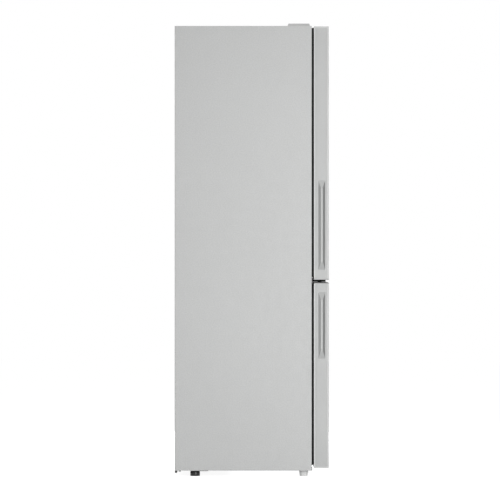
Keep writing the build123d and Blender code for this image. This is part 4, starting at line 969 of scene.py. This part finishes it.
def floor_finish():
    """Pale matt material that is white to the camera where the light is full, and keeps the shadow."""
    material = bpy.data.materials.new("pale_floor")
    material.use_nodes = True
    tree = material.node_tree
    tree.nodes.clear()
    matt = tree.nodes.new("ShaderNodeBsdfDiffuse")
    matt.inputs["Color"].default_value = FLOOR_COLOUR
    lift = tree.nodes.new("ShaderNodeEmission")
    shown = tree.nodes.new("ShaderNodeMath")
    shown.operation = "MULTIPLY"
    shown.inputs[1].default_value = FLOOR_LIFT
    tree.links.new(seen_rays(tree), shown.inputs[0])
    tree.links.new(shown.outputs["Value"], lift.inputs["Strength"])
    both = tree.nodes.new("ShaderNodeAddShader")
    tree.links.new(matt.outputs["BSDF"], both.inputs[0])
    tree.links.new(lift.outputs["Emission"], both.inputs[1])
    end = tree.nodes.new("ShaderNodeOutputMaterial")
    tree.links.new(both.outputs["Shader"], end.inputs["Surface"])
    return material


def make_floor():
    """Wide flat floor under the object."""
    half = FLOOR_SIZE / 2
    corners = [(-half, -half, 0), (half, -half, 0), (half, half, 0), (-half, half, 0)]
    mesh = bpy.data.meshes.new("floor")
    mesh.from_pydata(corners, [], [range(len(corners))])
    mesh.materials.append(floor_finish())
    floor = bpy.data.objects.new("floor", mesh)
    bpy.context.scene.collection.objects.link(floor)


def make_world():
    """White background, with a softer sky as light."""
    world = bpy.data.worlds.new("studio")
    bpy.context.scene.world = world
    world.use_nodes = True
    tree = world.node_tree
    tree.nodes.clear()
    sky = tree.nodes.new("ShaderNodeBackground")
    sky.inputs["Color"].default_value = WHITE
    sky.inputs["Strength"].default_value = SKY_LIGHT
    white = tree.nodes.new("ShaderNodeBackground")
    white.inputs["Color"].default_value = WHITE
    choice = tree.nodes.new("ShaderNodeMixShader")
    tree.links.new(seen_rays(tree), choice.inputs["Fac"])
    tree.links.new(sky.outputs["Background"], choice.inputs[1])
    tree.links.new(white.outputs["Background"], choice.inputs[2])
    end = tree.nodes.new("ShaderNodeOutputWorld")
    tree.links.new(choice.outputs["Shader"], end.inputs["Surface"])


def softbox(name, place, target, size, power):
    """Lamp of that width and height that faces a point."""
    data = bpy.data.lights.new(name, "AREA")
    data.shape = "RECTANGLE"
    data.size, data.size_y = size
    data.energy = power
    lamp = bpy.data.objects.new(name, data)
    lamp.location = place
    lamp.rotation_euler = (Vector(target) - Vector(place)).to_track_quat("-Z", "Y").to_euler()
    bpy.context.scene.collection.objects.link(lamp)


def make_camera():
    """Camera square to the side of the cabinet, framed as the picture is."""
    data = bpy.data.cameras.new("camera")
    data.sensor_width = SENSOR
    data.lens = SENSOR * CAMERA_DISTANCE / (FRAME_PIXELS * PIXEL)
    low, high = cad_box
    middle = (low + high) / 2
    off_y, off_z = ((pixel - FRAME_PIXELS / 2) * PIXEL for pixel in CENTRE_PIXEL)
    camera = bpy.data.objects.new("camera", data)
    camera.location = (low.x - CAMERA_DISTANCE, middle.y + off_y, middle.z + off_z)
    camera.rotation_euler = (math.radians(90.0), 0.0, math.radians(-90.0))
    bpy.context.scene.collection.objects.link(camera)
    bpy.context.scene.camera = camera


make_floor()
make_world()
for name, settings in LAMPS.items():
    softbox(name, *settings)
make_camera()
bpy.context.scene.view_settings.view_transform = "Standard"
